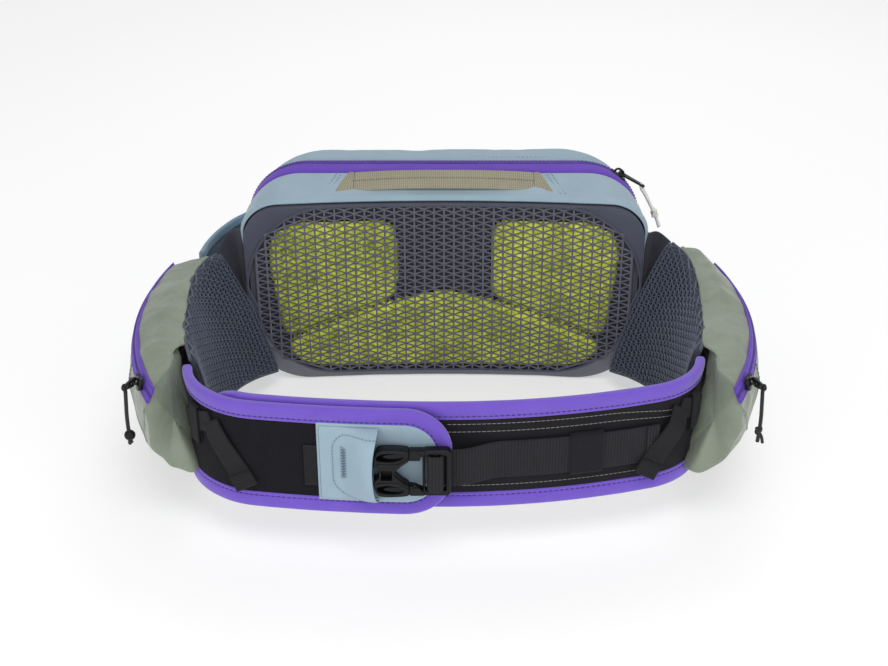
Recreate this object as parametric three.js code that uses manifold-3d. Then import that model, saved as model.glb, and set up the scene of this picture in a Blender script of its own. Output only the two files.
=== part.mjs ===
// A waist pack (hip bag) with its hip belt closed, in millimetres.
// +X is to the wearer's right as seen from the belt side, +Y points away from the wearer's back, +Z is up.
// The origin is on the floor under the middle of the pack.
import * as THREE from "three";
import { mergeVertices } from "three/addons/utils/BufferGeometryUtils.js";
import Module from "manifold-3d";

const wasm = await Module();
wasm.setup();

// ---------- driving dimensions ----------
const GAP = 0.35; // between pieces that touch
const BOARD_GAP = 1.2; // between the back board and the bag
const SKIN = 2.4; // wall of a sewn shell

// Bag: a rounded box lofted along Y. Each station is an outline in XZ and how far its sides bow towards the wearer.
const BOARD_Y = 87; // outer face of the back board
const STATIONS = {
  board: { y: BOARD_Y, half: 142, low: 0, high: 137, rLow: 45, rHigh: 25, bow: 10 },
  zipNear: { y: 106, half: 141, low: 0, high: 146, rLow: 45, rHigh: 38, bow: 0 },
  zipFar: { y: 126, half: 139, low: 0, high: 148, rLow: 45, rHigh: 42, bow: 0 },
  bulge: { y: 141, half: 129, low: 3, high: 150, rLow: 45, rHigh: 46, bow: 0 },
  shoulder: { y: 148, half: 116, low: 10, high: 143, rLow: 42, rHigh: 42, bow: 0 },
  face: { y: 150.8, half: 100, low: 22, high: 132, rLow: 36, rHigh: 36, bow: 0 },
};
const ZIP_END_Z = 35; // the main zip runs from here on one side, over the top, to here on the other
const PANEL_Y = 74; // wearer's side of the back panel at its middle
const PANEL_BOW = 10; // how far its sides come forward
const PANEL_HALF = 142;

// Belt: plan curves about the middle of the front, a gentle arc and a tight corner on each side.
const BELT_FRONT_Y = -139; // centre line of the inner flap at x = 0
const BELT_PLAN = {
  "-1": { front: 692, corner: 45, turn: 9.2, straight: 2 },
  1: { front: 410, corner: 45, turn: 18, straight: 2 },
};
const CORNER_END = 80; // heading, in degrees, where the corner ends and the straight root begins
const BELT_LOW = 30;
const BELT_HIGH = 102;
const BINDING = 11; // width of the purple edge
const CORE_T = 3.2;
const BINDING_T = 5;
const OUTER = 8; // offset of the outer (left) flap from the inner (right) one
const WEBBING = 25;
const WEBBING_Z = 65;
const WEBBING_T = 1.6;

// Wings: pad edges from the bag to the belt on the right side; the left side mirrors x.
const PAD_TOP = [[158, 68, 100], [166, 45, 102], [168, 12, 102], [165, -22, 102], [160, -56, 102], [151, -88, 101]];
const PAD_LOW = [[121, 57.5, 12], [134, 32, 20], [143, 0, 29], [148, -34, 34], [149, -64, 36], [146, -88, 37]];
const PAD_T = 5;
const RIGHT_LIFT = 9; // the right pad's top corner at the bag stands this much higher
const POCKET_ZIP = { x: -50, y: -8, r: 249, z: 94, rear: 12, front: -24.5 }; // centre, radius and angles of its arc

const ZIP_LEAN = 0.3; // how far the pocket zip's tape leans in, as a slope

// ---------- helpers ----------
const V = (x, y, z) => new THREE.Vector3(x, y, z);
const rad = THREE.MathUtils.degToRad;
const lerp = THREE.MathUtils.lerp;
const range = (n, f) => Array.from({ length: n }, (_, i) => f(i));

// A closed solid through rings with the same number of points, its ends closed by fans.
function loft(rings) {
  const n = rings[0].length;
  const points = rings.flat().map((p) => p.clone());
  const index = [];
  for (let r = 0; r < rings.length - 1; r++)
    for (let i = 0; i < n; i++) {
      const a = r * n + i;
      const b = r * n + ((i + 1) % n);
      index.push(a, b, a + n, b, b + n, a + n);
    }
  for (const [ring, turn] of [[0, true], [rings.length - 1, false]]) {
    const centre = rings[ring].reduce((s, p) => s.add(p), V(0, 0, 0)).divideScalar(n);
    const c = points.push(centre) - 1;
    for (let i = 0; i < n; i++) {
      const a = ring * n + i;
      const b = ring * n + ((i + 1) % n);
      index.push(...(turn ? [c, b, a] : [c, a, b]));
    }
  }
  return facingOut(points, index);
}

function facingOut(points, index) {
  let volume = 0;
  for (let i = 0; i < index.length; i += 3) {
    const [a, b, c] = [points[index[i]], points[index[i + 1]], points[index[i + 2]]];
    volume += a.dot(V(0, 0, 0).crossVectors(b, c));
  }
  if (volume < 0)
    for (let i = 0; i < index.length; i += 3) [index[i + 1], index[i + 2]] = [index[i + 2], index[i + 1]];
  return new THREE.BufferGeometry().setFromPoints(points).setIndex(index);
}

function solid(geometry) {
  const bare = geometry.clone();
  bare.deleteAttribute("normal");
  bare.deleteAttribute("uv");
  const merged = mergeVertices(bare, 1e-3);
  return new wasm.Manifold(
    new wasm.Mesh({
      numProp: 3,
      vertProperties: new Float32Array(merged.attributes.position.array),
      triVerts: new Uint32Array(merged.index.array),
    }),
  );
}

function geometryOf(made) {
  const mesh = made.getMesh();
  return new THREE.BufferGeometry()
    .setAttribute("position", new THREE.BufferAttribute(new Float32Array(mesh.vertProperties), 3))
    .setIndex(new THREE.BufferAttribute(new Uint32Array(mesh.triVerts), 1));
}

const cut = (from, ...tools) => geometryOf(tools.reduce((s, t) => s.subtract(solid(t)), solid(from)));
const join = (...parts) => geometryOf(parts.slice(1).reduce((s, t) => s.add(solid(t)), solid(parts[0])));

function box(x0, x1, y0, y1, z0, z1) {
  return new THREE.BoxGeometry(x1 - x0, y1 - y0, z1 - z0).translate((x0 + x1) / 2, (y0 + y1) / 2, (z0 + z1) / 2);
}

// Four corners of a flat strip's section: height along `up`, thickness along `out`.
function quad(centre, up, high, out, thick) {
  return [[-1, -1], [1, -1], [1, 1], [-1, 1]].map(([u, o]) =>
    centre.clone().addScaledVector(up, (u * high) / 2).addScaledVector(out, (o * thick) / 2));
}

// A rounded rectangle in XZ: arcs at the corners, with points along the long edges so that they can bow.
function outline({ half, low, high, rLow, rHigh }, inset = 0) {
  const arc = (cx, cz, r, from) =>
    range(7, (i) => {
      const a = rad(from + 15 * i);
      return [cx + (r - inset) * Math.cos(a), cz + (r - inset) * Math.sin(a)];
    });
  const edge = (x0, x1, z) => range(5, (i) => [lerp(x0, x1, (i + 1) / 6), z]);
  return [
    ...arc(half - rHigh, high - rHigh, rHigh, 0),
    ...edge(half - rHigh, rHigh - half, high - inset),
    ...arc(rHigh - half, high - rHigh, rHigh, 90),
    ...arc(rLow - half, low + rLow, rLow, 180),
    ...edge(rLow - half, half - rLow, low + inset),
    ...arc(half - rLow, low + rLow, rLow, 270),
  ];
}

const bagRing = (station, y, inset = 0) =>
  outline(station, inset).map(([x, z]) => V(x, y - station.bow * (x / PANEL_HALF) ** 2, z));

function between(a, b, y) {
  const t = (y - a.y) / (b.y - a.y);
  return Object.fromEntries(Object.keys(a).map((k) => [k, lerp(a[k], b[k], t)]));
}

// A plate parallel to the back panel, as strips from one x to the next; low and high are functions of x.
function plate(xs, low, high, y0, y1) {
  return loft(
    xs.map((x) => {
      const back = -PANEL_BOW * (x / PANEL_HALF) ** 2;
      return [V(x, y0 + back, low(x)), V(x, y1 + back, low(x)), V(x, y1 + back, high(x)), V(x, y0 + back, high(x))];
    }),
  );
}

function roundedPlate({ half, low, high, rLow, rHigh }, y0, y1) {
  const dip = (x, r) => r - Math.sqrt(Math.max(0, r * r - Math.max(0, Math.abs(x) - (half - r)) ** 2));
  const corner = Math.max(rLow, rHigh);
  const side = range(9, (i) => half - corner + corner * Math.sin(rad((90 * i) / 8)));
  const xs = [...side.map((x) => -x).reverse(), ...range(5, (i) => lerp(corner - half, half - corner, (i + 1) / 6)), ...side];
  return plate(xs, (x) => low + dip(x, rLow), (x) => high - dip(x, rHigh), y0, y1);
}

// The belt's plan curve: the point and outward direction at arc length s from the middle (left is negative).
function beltAt(s, offset = 0) {
  const side = s < 0 ? -1 : 1;
  const { front, corner, turn } = BELT_PLAN[side];
  let left = Math.abs(s);
  const length = front * rad(turn);
  const first = Math.min(left, length) / front;
  let x = front * Math.sin(first);
  let y = BELT_FRONT_Y + front * (1 - Math.cos(first));
  left -= Math.min(left, length);
  let heading = first;
  if (left > 0) {
    const swept = Math.min(left / corner, rad(CORNER_END - turn));
    heading = first + swept;
    x += corner * (Math.sin(heading) - Math.sin(first));
    y += corner * (Math.cos(first) - Math.cos(heading));
    left -= swept * corner;
  }
  x += left * Math.cos(heading);
  y += left * Math.sin(heading);
  const out = V(side * Math.sin(heading), -Math.cos(heading), 0);
  return { point: V(side * x, y, 0).addScaledVector(out, offset), out };
}

function beltEnd(side) {
  const { front, corner, turn, straight } = BELT_PLAN[side];
  return side * (front * rad(turn) + corner * rad(CORNER_END - turn) + straight);
}

// Positions along the belt, close together in the corners.
function beltSteps(from, to, step = 9) {
  const n = Math.max(2, Math.ceil(Math.abs(to - from) / step));
  return range(n + 1, (i) => lerp(from, to, i / n));
}

const UP = V(0, 0, 1);

// A strip that follows the belt, from s = from to s = to, between heights low and high.
function beltStrip(from, to, low, high, offset, thick, step) {
  return loft(
    beltSteps(from, to, step).map((s) => {
      const { point, out } = beltAt(s, offset);
      const [z0, z1] = [low, high].map((v) => (typeof v === "function" ? v(s) : v));
      return quad(point.setZ((z0 + z1) / 2), UP, z1 - z0, out, thick);
    }),
  );
}

// Half the height of a flap whose free end is rounded: `tip` is its end and `r` its corner radius.
const roundedHalf = (s, tip, r, full) => full - r + Math.sqrt(Math.max(0, r * r - Math.max(0, r - Math.abs(tip - s)) ** 2));

// ---------- materials ----------
const finish = (color, roughness, metalness = 0) => new THREE.MeshStandardMaterial({ color, roughness, metalness });
const M = {
  shell: finish(0x9db8c6, 0.75),
  olive: finish(0x7f8b75, 0.6),
  charcoal: finish(0x4a4a55, 0.85),
  mesh: finish(0x4f5160, 0.9),
  foam: finish(0xb4cc35, 0.9),
  violet: finish(0x7553c8, 0.6),
  zip: finish(0x6a43c0, 0.55),
  elastic: finish(0x1d1b22, 0.95),
  webbing: finish(0x232228, 0.8),
  plastic: finish(0x17171a, 0.35),
  handle: finish(0xb2a688, 0.85),
  stretch: finish(0x5f88a0, 0.85),
  cord: finish(0xe8e6d8, 0.8),
  blackCord: finish(0x18181b, 0.8),
  metal: finish(0x26262a, 0.4, 0.6),
};

const pack = new THREE.Group();

function add(name, geometry, material, parent = pack) {
  const mesh = new THREE.Mesh(geometry, material);
  mesh.name = name;
  parent.add(mesh);
  return mesh;
}

// ---------- bag ----------
const backPanel = { half: PANEL_HALF, low: 0, high: 137, rLow: 45, rHigh: 25 };
const meshWindow = { half: 136, low: 7, high: 131, rLow: 40, rHigh: 42 };
const PAD_DEPTH = 6.4;

function buildBackPanel() {
  const rimEnd = BOARD_Y - 4 - GAP;
  const window = { ...meshWindow, half: meshWindow.half + GAP, low: meshWindow.low - GAP, high: meshWindow.high + GAP };
  add("back_board", roundedPlate(backPanel, BOARD_Y - 4, BOARD_Y - BOARD_GAP), M.charcoal);
  add("panel_rim", cut(roundedPlate(backPanel, PANEL_Y, rimEnd), roundedPlate(window, PANEL_Y - 5, rimEnd + 5)), M.charcoal);
  add("back_mesh", roundedPlate(meshWindow, PANEL_Y, PANEL_Y + 1.5), M.mesh);

  // Three foam pads behind the mesh: two upper ones and a lower one with a crowned top edge.
  const y0 = PANEL_Y + 1.5 + GAP;
  const y1 = y0 + PAD_DEPTH;
  const crown = (x) => 68 - 32 * (Math.abs(x) / 112) ** 1.7;
  const xsUpper = [35, 38, 44, 60, 78, 96, 108, 114, 119, 122];
  const upperHigh = (x) => 125 - 12 * Math.max(0, (x - 104) / 18) ** 2 - 8 * Math.max(0, (44 - x) / 9) ** 2;
  const upperLow = (x) => crown(x) + 6 + 8 * Math.max(0, (44 - x) / 9) ** 2 + 22 * Math.max(0, (x - 104) / 18) ** 2;
  const mirrored = (f) => (x) => f(-x);
  add("pad_upper_right", plate(xsUpper, upperLow, upperHigh, y0, y1), M.foam);
  add("pad_upper_left", plate(xsUpper.map((x) => -x).reverse(), mirrored(upperLow), mirrored(upperHigh), y0, y1), M.foam);
  const xsLower = [-112, -106, -95, -75, -50, -25, 0, 25, 50, 75, 95, 106, 112];
  const lowerLow = (x) => 10 + 20 * Math.max(0, (Math.abs(x) - 92) / 20) ** 2;
  add("pad_lower", plate(xsLower, lowerLow, crown, y0, y1), M.foam);
}

function buildBagShell() {
  const { board, zipNear, zipFar, bulge, shoulder, face } = STATIONS;
  const inside = loft([
    bagRing({ ...board, bow: board.bow }, board.y - 12, SKIN),
    bagRing(board, board.y + 2, SKIN),
    bagRing(zipNear, zipNear.y, SKIN),
    bagRing(zipFar, zipFar.y, SKIN),
    bagRing(bulge, bulge.y - 1, SKIN),
    bagRing(shoulder, shoulder.y - SKIN, SKIN),
  ]);
  const upper = (y0, y1, z) => box(-200, 200, y0, y1, z, 300);
  const tube = (rings) => cut(loft(rings), inside);

  const gusset = tube([bagRing(board, board.y), bagRing(zipNear, zipNear.y), bagRing(zipFar, zipFar.y)]);
  add("bag_gusset", cut(gusset, upper(zipNear.y, 200, ZIP_END_Z)), M.shell);

  const nearer = between(zipNear, zipFar, zipNear.y + GAP);
  const further = between(zipNear, zipFar, zipFar.y - GAP);
  const tape = tube([bagRing(nearer, nearer.y), bagRing(further, further.y)]);
  add("main_zip_tape", cut(tape, box(-200, 200, 50, 200, -50, ZIP_END_Z + GAP)), M.zip);

  const from = between(zipFar, bulge, zipFar.y + GAP);
  const rings = [bagRing(from, from.y), ...[bulge, shoulder, face].map((s) => bagRing(s, s.y))];
  add("outer_shell", tube(rings), M.shell);

  // The coil stands proud of the tape, nearer its far edge.
  const coil = between(zipNear, zipFar, 119);
  const strand = (inset) => loft([117.6, 120.4].map((y) => bagRing({ ...coil, bow: 1.2 }, y, inset)));
  const ridge = cut(strand(-1.3), loft([110, 128].map((y) => bagRing({ ...coil, bow: 1.2 }, y, -0.55))));
  add("main_zip_coil", cut(ridge, box(-200, 200, 50, 200, -50, ZIP_END_Z + 2)), M.zip);
}

function buildBagFittings() {
  // Inside: a hydration sleeve on the back board and a key leash.
  const sleeve = { half: 122, low: 8, high: 104, rLow: 30, rHigh: 8 };
  add("inner_sleeve", roundedPlate(sleeve, BOARD_Y + 5, BOARD_Y + 6.6), M.charcoal);
  add("key_leash", box(70, 82, 96, 97.5, 60, 128), M.webbing);

  // Outside: a flat pocket, with its zip across the top.
  const y = STATIONS.face.y + GAP;
  const x0 = 86;
  add("outer_pocket", outerPlate(x0, 28, 94, 16, y, y + 5), M.shell);
  add("outer_zip_tape", box(-x0, x0, y, y + 1.6, 94.5, 110), M.zip);
  add("outer_zip_coil", box(-x0 + 3, x0 - 3, y + 1.6 + GAP, y + 2.6, 101.2, 104), M.zip);
}

function outerPlate(half, low, high, r, y0, y1) {
  const shape = new THREE.Shape();
  shape.moveTo(-half, high);
  shape.lineTo(-half, low + r);
  shape.absarc(-half + r, low + r, r, Math.PI, 1.5 * Math.PI);
  shape.absarc(half - r, low + r, r, 1.5 * Math.PI, 2 * Math.PI);
  shape.lineTo(half, high);
  const made = new THREE.ExtrudeGeometry(shape, { depth: y1 - y0, bevelEnabled: false, curveSegments: 6 });
  return made.rotateX(Math.PI / 2).translate(0, y1, 0);
}

// A webbing handle on the sloping top: two sewn ends and an arch that can be lifted between them.
const HANDLE = { half: 76, y: 96.5, z: 142.3, width: 18, thick: 2, rise: 8, slope: 25 };
const HANDLE_SEWN = 12; // length of each sewn end

function buildHandle() {
  const { half, y, z, width, thick, rise, slope } = HANDLE;
  const across = V(0, Math.cos(rad(slope)), Math.sin(rad(slope)));
  const out = V(0, -Math.sin(rad(slope)), Math.cos(rad(slope)));
  const strip = (from, to, n, risen) =>
    loft(
      range(n, (i) => {
        const x = lerp(from, to, i / (n - 1));
        const lift = thick / 2 + 0.6 + risen * Math.max(0, 1 - (x / (half - HANDLE_SEWN)) ** 4);
        return quad(V(x, y, z).addScaledVector(out, lift), across, width, out, thick);
      }),
    );
  const arch = half - HANDLE_SEWN - GAP;
  add("grab_handle", strip(-arch, arch, 15, rise), M.handle);
  add("handle_end_left", strip(-half, -half + HANDLE_SEWN, 2, 0), M.handle);
  add("handle_end_right", strip(half - HANDLE_SEWN, half, 2, 0), M.handle);
}

// ---------- wings ----------
const spline = (points, side, lift = 0) =>
  new THREE.CatmullRomCurve3(points.map(([x, y, z], i) => V(side * x, y, z + lift * Math.max(0, 1 - i / 3))));

function wingEdges(side) {
  const lift = side > 0 ? RIGHT_LIFT : 0;
  return { top: spline(PAD_TOP, side, lift), low: spline(PAD_LOW, side) };
}

function zipArc(side, degrees, r, z) {
  const a = rad(degrees);
  return V(side * (POCKET_ZIP.x + r * Math.cos(a)), POCKET_ZIP.y + r * Math.sin(a), z);
}

const zipAngle = (t) => lerp(POCKET_ZIP.rear + 2.2, POCKET_ZIP.front - 1.2, t);

// One cross-section of the pocket, from the inner top edge over the zip and round the outside to the inner bottom edge.
function pocketRing(side, t, inset, edges) {
  const u = lerp(0.1, 0.99, t);
  const out = V(side, 0, 0);
  const flapRoom = lerp(1.4, 9.4, THREE.MathUtils.smoothstep(t, 0.5, 0.75));
  const gap = PAD_T + flapRoom + inset;
  const top = edges.top.getPoint(u).addScaledVector(out, gap);
  const low = edges.low.getPoint(u).addScaledVector(out, gap);
  const full = Math.sin(Math.PI * lerp(0.16, 0.9, t)) ** 0.7;
  const a = zipAngle(t);
  const arc = (r, z) => zipArc(side, a, r - inset, z);
  return [
    top.clone().setZ(top.z - 1.5 - inset),
    top.clone().lerp(arc(240, 104), 0.55).setZ(top.z + 2.2 * full - inset),
    arc(245.5, 100 - inset * 0.6),
    arc(249, 96),
    arc(250.4, 91),
    arc(250 + 5 * full, 76),
    arc(248 + 5 * full, 58),
    arc(240 + 4 * full, 42 + inset * 0.6),
    arc(lerp(226, 233, t ** 3), 36 + 4 * (1 - full) + inset),
    low.clone().setZ(low.z + 2 + inset),
    low.clone().lerp(top, 0.5),
  ];
}

function buildWing(side) {
  const name = side > 0 ? "right" : "left";
  const edges = wingEdges(side);
  const out = V(side, 0, 0);

  const padRing = (t) => {
    const [low, top] = [edges.low.getPoint(t), edges.top.getPoint(t)];
    const belly = low.clone().lerp(top, 0.5).addScaledVector(out, -3);
    const thick = t > 0.97 ? PAD_T - 1.5 : PAD_T;
    const back = [top, belly, low].map((p) => p.clone().addScaledVector(out, thick));
    return [low, belly, top, ...back];
  };
  add(`wing_pad_${name}`, loft(range(15, (i) => padRing((i / 14) * (side > 0 ? 0.92 : 1)))), M.mesh);

  // The hollow pocket, open along its zip.
  const steps = 13;
  const walls = (inset, from, to) => loft(range(steps, (i) => pocketRing(side, lerp(from, to, i / (steps - 1)), inset, edges)));
  const slot = (deep, high, rear, front) =>
    loft(
      range(15, (i) => {
        const a = lerp(rear, front, i / 14);
        const lean = V(0, 0, 1).addScaledVector(zipArc(side, a, 1, 0).sub(zipArc(side, a, 0, 0)), -ZIP_LEAN).normalize();
        const away = zipArc(side, a, 1, 0).sub(zipArc(side, a, 0, 0));
        return quad(zipArc(side, a, 249.4, 95).addScaledVector(away, deep[0]), lean, high, away, deep[1]);
      }),
    );
  const shell = cut(walls(0, 0, 1), walls(1.8, 0.03, 0.97));
  add(`pocket_${name}`, cut(shell, slot([0, 14], 11, POCKET_ZIP.rear, POCKET_ZIP.front + 1)), M.olive);
  add(`pocket_zip_tape_${name}`, slot([0.6, 1.6], 10.2, POCKET_ZIP.rear - 0.2, POCKET_ZIP.front + 1.2), M.zip);

  // The stretch pocket that joins the wing to the bag's side.
  const sweep = [[143.4, 110, 114], [153, 107, 110], [164, 96, 105], [170, 83, 102], [172, 68, 101]];
  const gusset = sweep.map(([x, y, z], i) => {
    const previous = sweep[Math.max(0, i - 1)];
    const next = sweep[Math.min(sweep.length - 1, i + 1)];
    const along = V(side * (next[0] - previous[0]), next[1] - previous[1], 0).normalize();
    const away = V(-along.y, along.x, 0);
    const low = lerp(26, 30, i / 4);
    return quad(V(side * x, y, (z + low) / 2), UP, z - low, away, 2.4);
  });
  add(`side_gusset_${name}`, loft(gusset), M.stretch);
  return edges;
}

// ---------- belt ----------
const outerTip = 5; // the outer flap ends this far right of the middle
const innerTip = -148;

function binding(root, tip, offset, thick) {
  // A strip folded over the flap's edge: along the top, round the end and back along the bottom.
  const toward = Math.sign(tip - root);
  const mid = (BELT_LOW + BELT_HIGH) / 2;
  const reach = (BELT_HIGH - BELT_LOW - BINDING) / 2;
  const r = 22;
  const straight = beltSteps(root, tip - toward * (r + BINDING / 2), 9);
  const path = straight.map((s) => ({ s, z: mid + reach, across: [0, 1] }));
  const turn = (from, centreZ) =>
    range(6, (i) => {
      const a = rad(from - 18 * i);
      return { s: straight.at(-1) + toward * r * Math.cos(a), z: centreZ + r * Math.sin(a), across: [toward * Math.cos(a), Math.sin(a)] };
    });
  path.push(...turn(90, mid + reach - r).slice(1), ...turn(0, mid - reach + r));
  path.push(...straight.slice(0, -1).reverse().map((s) => ({ s, z: mid - reach, across: [0, -1] })));
  return loft(
    path.map(({ s, z, across }) => {
      const { point, out } = beltAt(s, offset);
      const along = V(-out.y, out.x, 0);
      const width = along.multiplyScalar(across[0]).addScaledVector(UP, across[1]);
      return quad(point.setZ(z), width, BINDING, out, thick);
    }),
  );
}

function flapCore(root, tip, offset, thick) {
  const mid = (BELT_LOW + BELT_HIGH) / 2;
  const full = (BELT_HIGH - BELT_LOW) / 2 - BINDING - 2 * GAP;
  const toward = Math.sign(tip - root);
  const end = tip - toward * (BINDING + 2 * GAP);
  const r = 16;
  const steps = [...beltSteps(root, end - toward * r, 9), ...range(6, (i) => end - toward * r * (1 - Math.sin(rad(15 * (i + 1)))))];
  return loft(
    steps.map((s) => {
      const { point, out } = beltAt(s, offset);
      return quad(point.setZ(mid), UP, 2 * roundedHalf(s, end, r, full), out, thick);
    }),
  );
}

function buildBelt() {
  const leftRoot = beltEnd(-1);
  const rightRoot = beltEnd(1);
  add("flap_outer", flapCore(leftRoot, outerTip, OUTER, CORE_T), M.elastic);
  add("flap_outer_binding", binding(leftRoot, outerTip, OUTER, BINDING_T), M.violet);
  add("flap_inner", flapCore(rightRoot, innerTip, 0, CORE_T), M.elastic);
  add("flap_inner_binding", binding(rightRoot, innerTip, 0, BINDING_T), M.violet);

  const face = OUTER + CORE_T / 2;
  const patchHalf = (s) => roundedHalf(s, outerTip - 12, 16, 24.4);
  add("buckle_patch", beltStrip(-72, outerTip - 12, (s) => 66 - patchHalf(s), (s) => 66 + patchHalf(s), face + GAP + 0.5, 1, 4), M.shell);
  add("buckle_tongue", beltStrip(-64, -35, 50, 82, face + GAP + 1 + GAP + 0.6, 1.2, 7), M.shell);
  add("belt_label", beltStrip(-81, -73.5, 46, 66, face + GAP + 0.4, 0.8, 7), M.webbing);
  add("hook_patch", beltStrip(-100, -12, 46, 86, OUTER - CORE_T / 2 - GAP - 0.5, 1, 10), M.webbing);

  // Waist webbing on the inner flap's outer face, rising at its left end to the buckle.
  const rest = 4.1;
  const steps = [-2, 6, 12, 18, 24, 32, ...beltSteps(41, 128, 9)];
  const webbing = steps.map((s) => {
    const lift = 7.9 * (1 - THREE.MathUtils.smoothstep(s, 7, 34));
    const { point, out } = beltAt(s, rest + lift);
    return quad(point.setZ(WEBBING_Z), UP, WEBBING, out, WEBBING_T);
  });
  add("waist_webbing", loft(webbing), M.webbing);
  const keeperWidth = WEBBING + 3.4;
  const sleeve = (grow, from, to, high) => beltStrip(from, to, WEBBING_Z - high / 2, WEBBING_Z + high / 2, rest, grow, 5);
  add("webbing_keeper", cut(sleeve(WEBBING_T + 2 * 1.05, 74, 94, keeperWidth), sleeve(WEBBING_T + 2 * 0.3, 70, 98, WEBBING + 1)), M.webbing);
}

// ---------- buckle ----------
const BUCKLE = { z: 66, back: -152.4, thick: 8, mouth: -20, left: -42, halfHigh: 16 };

function buildBuckle() {
  const { z, back, thick, mouth, left, halfHigh } = BUCKLE;
  const b = (x0, x1, y0, y1, h0, h1) => box(x0, x1, back - y1, back - y0, z + h0, z + h1);
  // Female half: a flat socket, open at its mouth, at both sides for the thumbs, and on its face beside a centre bridge.
  const female = cut(
    b(left, mouth, 0, thick, -halfHigh, halfHigh),
    b(left + 6, mouth + 1, 1.4, thick - 1.4, -halfHigh + 2, halfHigh - 2),
    b(left + 9, mouth - 4, 1.4, thick - 1.4, -halfHigh - 1, halfHigh + 1),
    b(left + 9, mouth - 4, 3, thick + 1, 6, halfHigh + 1),
    b(left + 9, mouth - 4, 3, thick + 1, -halfHigh - 1, -6),
    b(left + 1.6, left + 4.4, -1, thick + 1, -13, 13),
  );
  add("buckle_female", female, M.plastic);

  // Male half: a ladder frame for the webbing and a centre guide that runs into the socket.
  const male = join(
    cut(
      b(-15, 4, 0.3, 6.6, -15.6, 15.6),
      b(-11.4, -6.4, -1, thick, -13, 13),
      b(-3.2, 1.4, -1, thick, -13, 13),
    ),
    b(-33, -14.5, 2.6, 5, -2.6, 2.6),
  );
  add("buckle_male", male, M.plastic);
  for (const side of [1, -1]) {
    const prong = new THREE.Shape();
    prong.moveTo(-15.4, side * 8.5);
    prong.lineTo(-15.4, side * 13.6);
    prong.bezierCurveTo(-20, side * 14.2, -24, side * 13.6, -34, side * 12.4);
    prong.lineTo(-35.4, side * 10.4);
    prong.bezierCurveTo(-30, side * 9.4, -24, side * 9.8, -20.5, side * 9.4);
    const made = new THREE.ExtrudeGeometry(prong, { depth: 4.4, bevelEnabled: false, curveSegments: 6 });
    made.rotateX(Math.PI / 2).translate(0, back - 1.8, z);
    add(side > 0 ? "prong_upper" : "prong_lower", made, M.plastic);
  }
  // The webbing's turn over the ladder's centre bar.
  const strap = loft(
    [[-9, 2.2], [-8.4, 7.6], [-1.6, 7.6], [-0.8, 2.2]].map(([x, y], i) => {
      const along = [V(0.1, -1, 0), V(0.6, -0.8, 0), V(0.6, 0.8, 0), V(0.1, 1, 0)][i].normalize();
      return quad(V(x, back - y, z), UP, 24, V(-along.y, along.x, 0), 1.1);
    }),
  );
  add("webbing_turn", strap, M.webbing);
}

// ---------- ventilation straps at the wing ends ----------
function buildVentStrap(side) {
  const name = side > 0 ? "right" : "left";
  const offset = (side > 0 ? 0 : OUTER) + CORE_T / 2 + GAP;
  const s = (d) => side * (Math.abs(beltEnd(side)) - d);
  const loop = cut(
    beltStrip(s(20), s(27), 64, 90, offset + 1.5, 3, 3.5),
    beltStrip(s(18), s(29), 67, 87, offset + 1.4, 1.4, 3.5),
  );
  add(`vent_loop_${name}`, loop, M.plastic);
  // Its pull strap runs diagonally down the flap; on the right its end lies over the sewn end of the webbing.
  const steps = range(12, (i) => i / 11);
  const climb = side > 0 ? 3.4 : 0;
  const strap = steps.map((t) => {
    const { point, out } = beltAt(s(lerp(35, 58, t)), offset + 1.1 + climb * THREE.MathUtils.smoothstep(t, 0, 0.3));
    const along = V(-out.y, out.x, 0).multiplyScalar(-side * 27).addScaledVector(UP, -34).normalize();
    const wide = V(0, 0, 0).crossVectors(out, along);
    return quad(point.setZ(lerp(84, 47, t)), wide, 15, out, 1.4);
  });
  add(`vent_strap_${name}`, loft(strap), M.webbing);
}

// ---------- zip sliders, pull tabs and cords ----------
const SLIDER_TOP = 2.6;
const PIVOT_H = 3.75; // height of the pull tab's hinge bar above the slider's sole

function sliderBody() {
  const sole = new THREE.Shape();
  sole.moveTo(-5.5, -2.8);
  sole.bezierCurveTo(-2, -2.8, -1, -4.2, 3, -4.2);
  sole.absarc(3.2, 0, 4.2, -Math.PI / 2, Math.PI / 2);
  sole.bezierCurveTo(-1, 4.2, -2, 2.8, -5.5, 2.8);
  const plateAt = new THREE.ExtrudeGeometry(sole, { depth: SLIDER_TOP, bevelEnabled: false, curveSegments: 5 });
  const post = (x) => box(x - 0.7, x + 0.7, -0.8, 0.8, SLIDER_TOP - 0.5, 5.4);
  return join(plateAt, post(-3.4), post(3.4), box(-4.1, 4.1, -0.8, 0.8, 4.9, 6.3));
}

function pullTab(length) {
  const shape = new THREE.Shape();
  shape.moveTo(-0.65, -2.8);
  shape.lineTo(6, -2.8);
  shape.lineTo(length - 2, -2);
  shape.absarc(length - 2, 0, 2, -Math.PI / 2, Math.PI / 2);
  shape.lineTo(6, 2.8);
  shape.lineTo(-0.65, 2.8);
  const window = new THREE.Path();
  window.moveTo(0.65, -1.4);
  window.lineTo(0.65, 1.4);
  window.lineTo(5.2, 1.4);
  window.lineTo(5.2, -1.4);
  const eye = new THREE.Path();
  eye.absarc(length - 2.2, 0, 1.1, 0, 2 * Math.PI, true);
  shape.holes.push(window, eye);
  const made = new THREE.ExtrudeGeometry(shape, { depth: 1.3, bevelEnabled: false, curveSegments: 6 });
  return made.translate(0, 0, -0.65);
}

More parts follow.
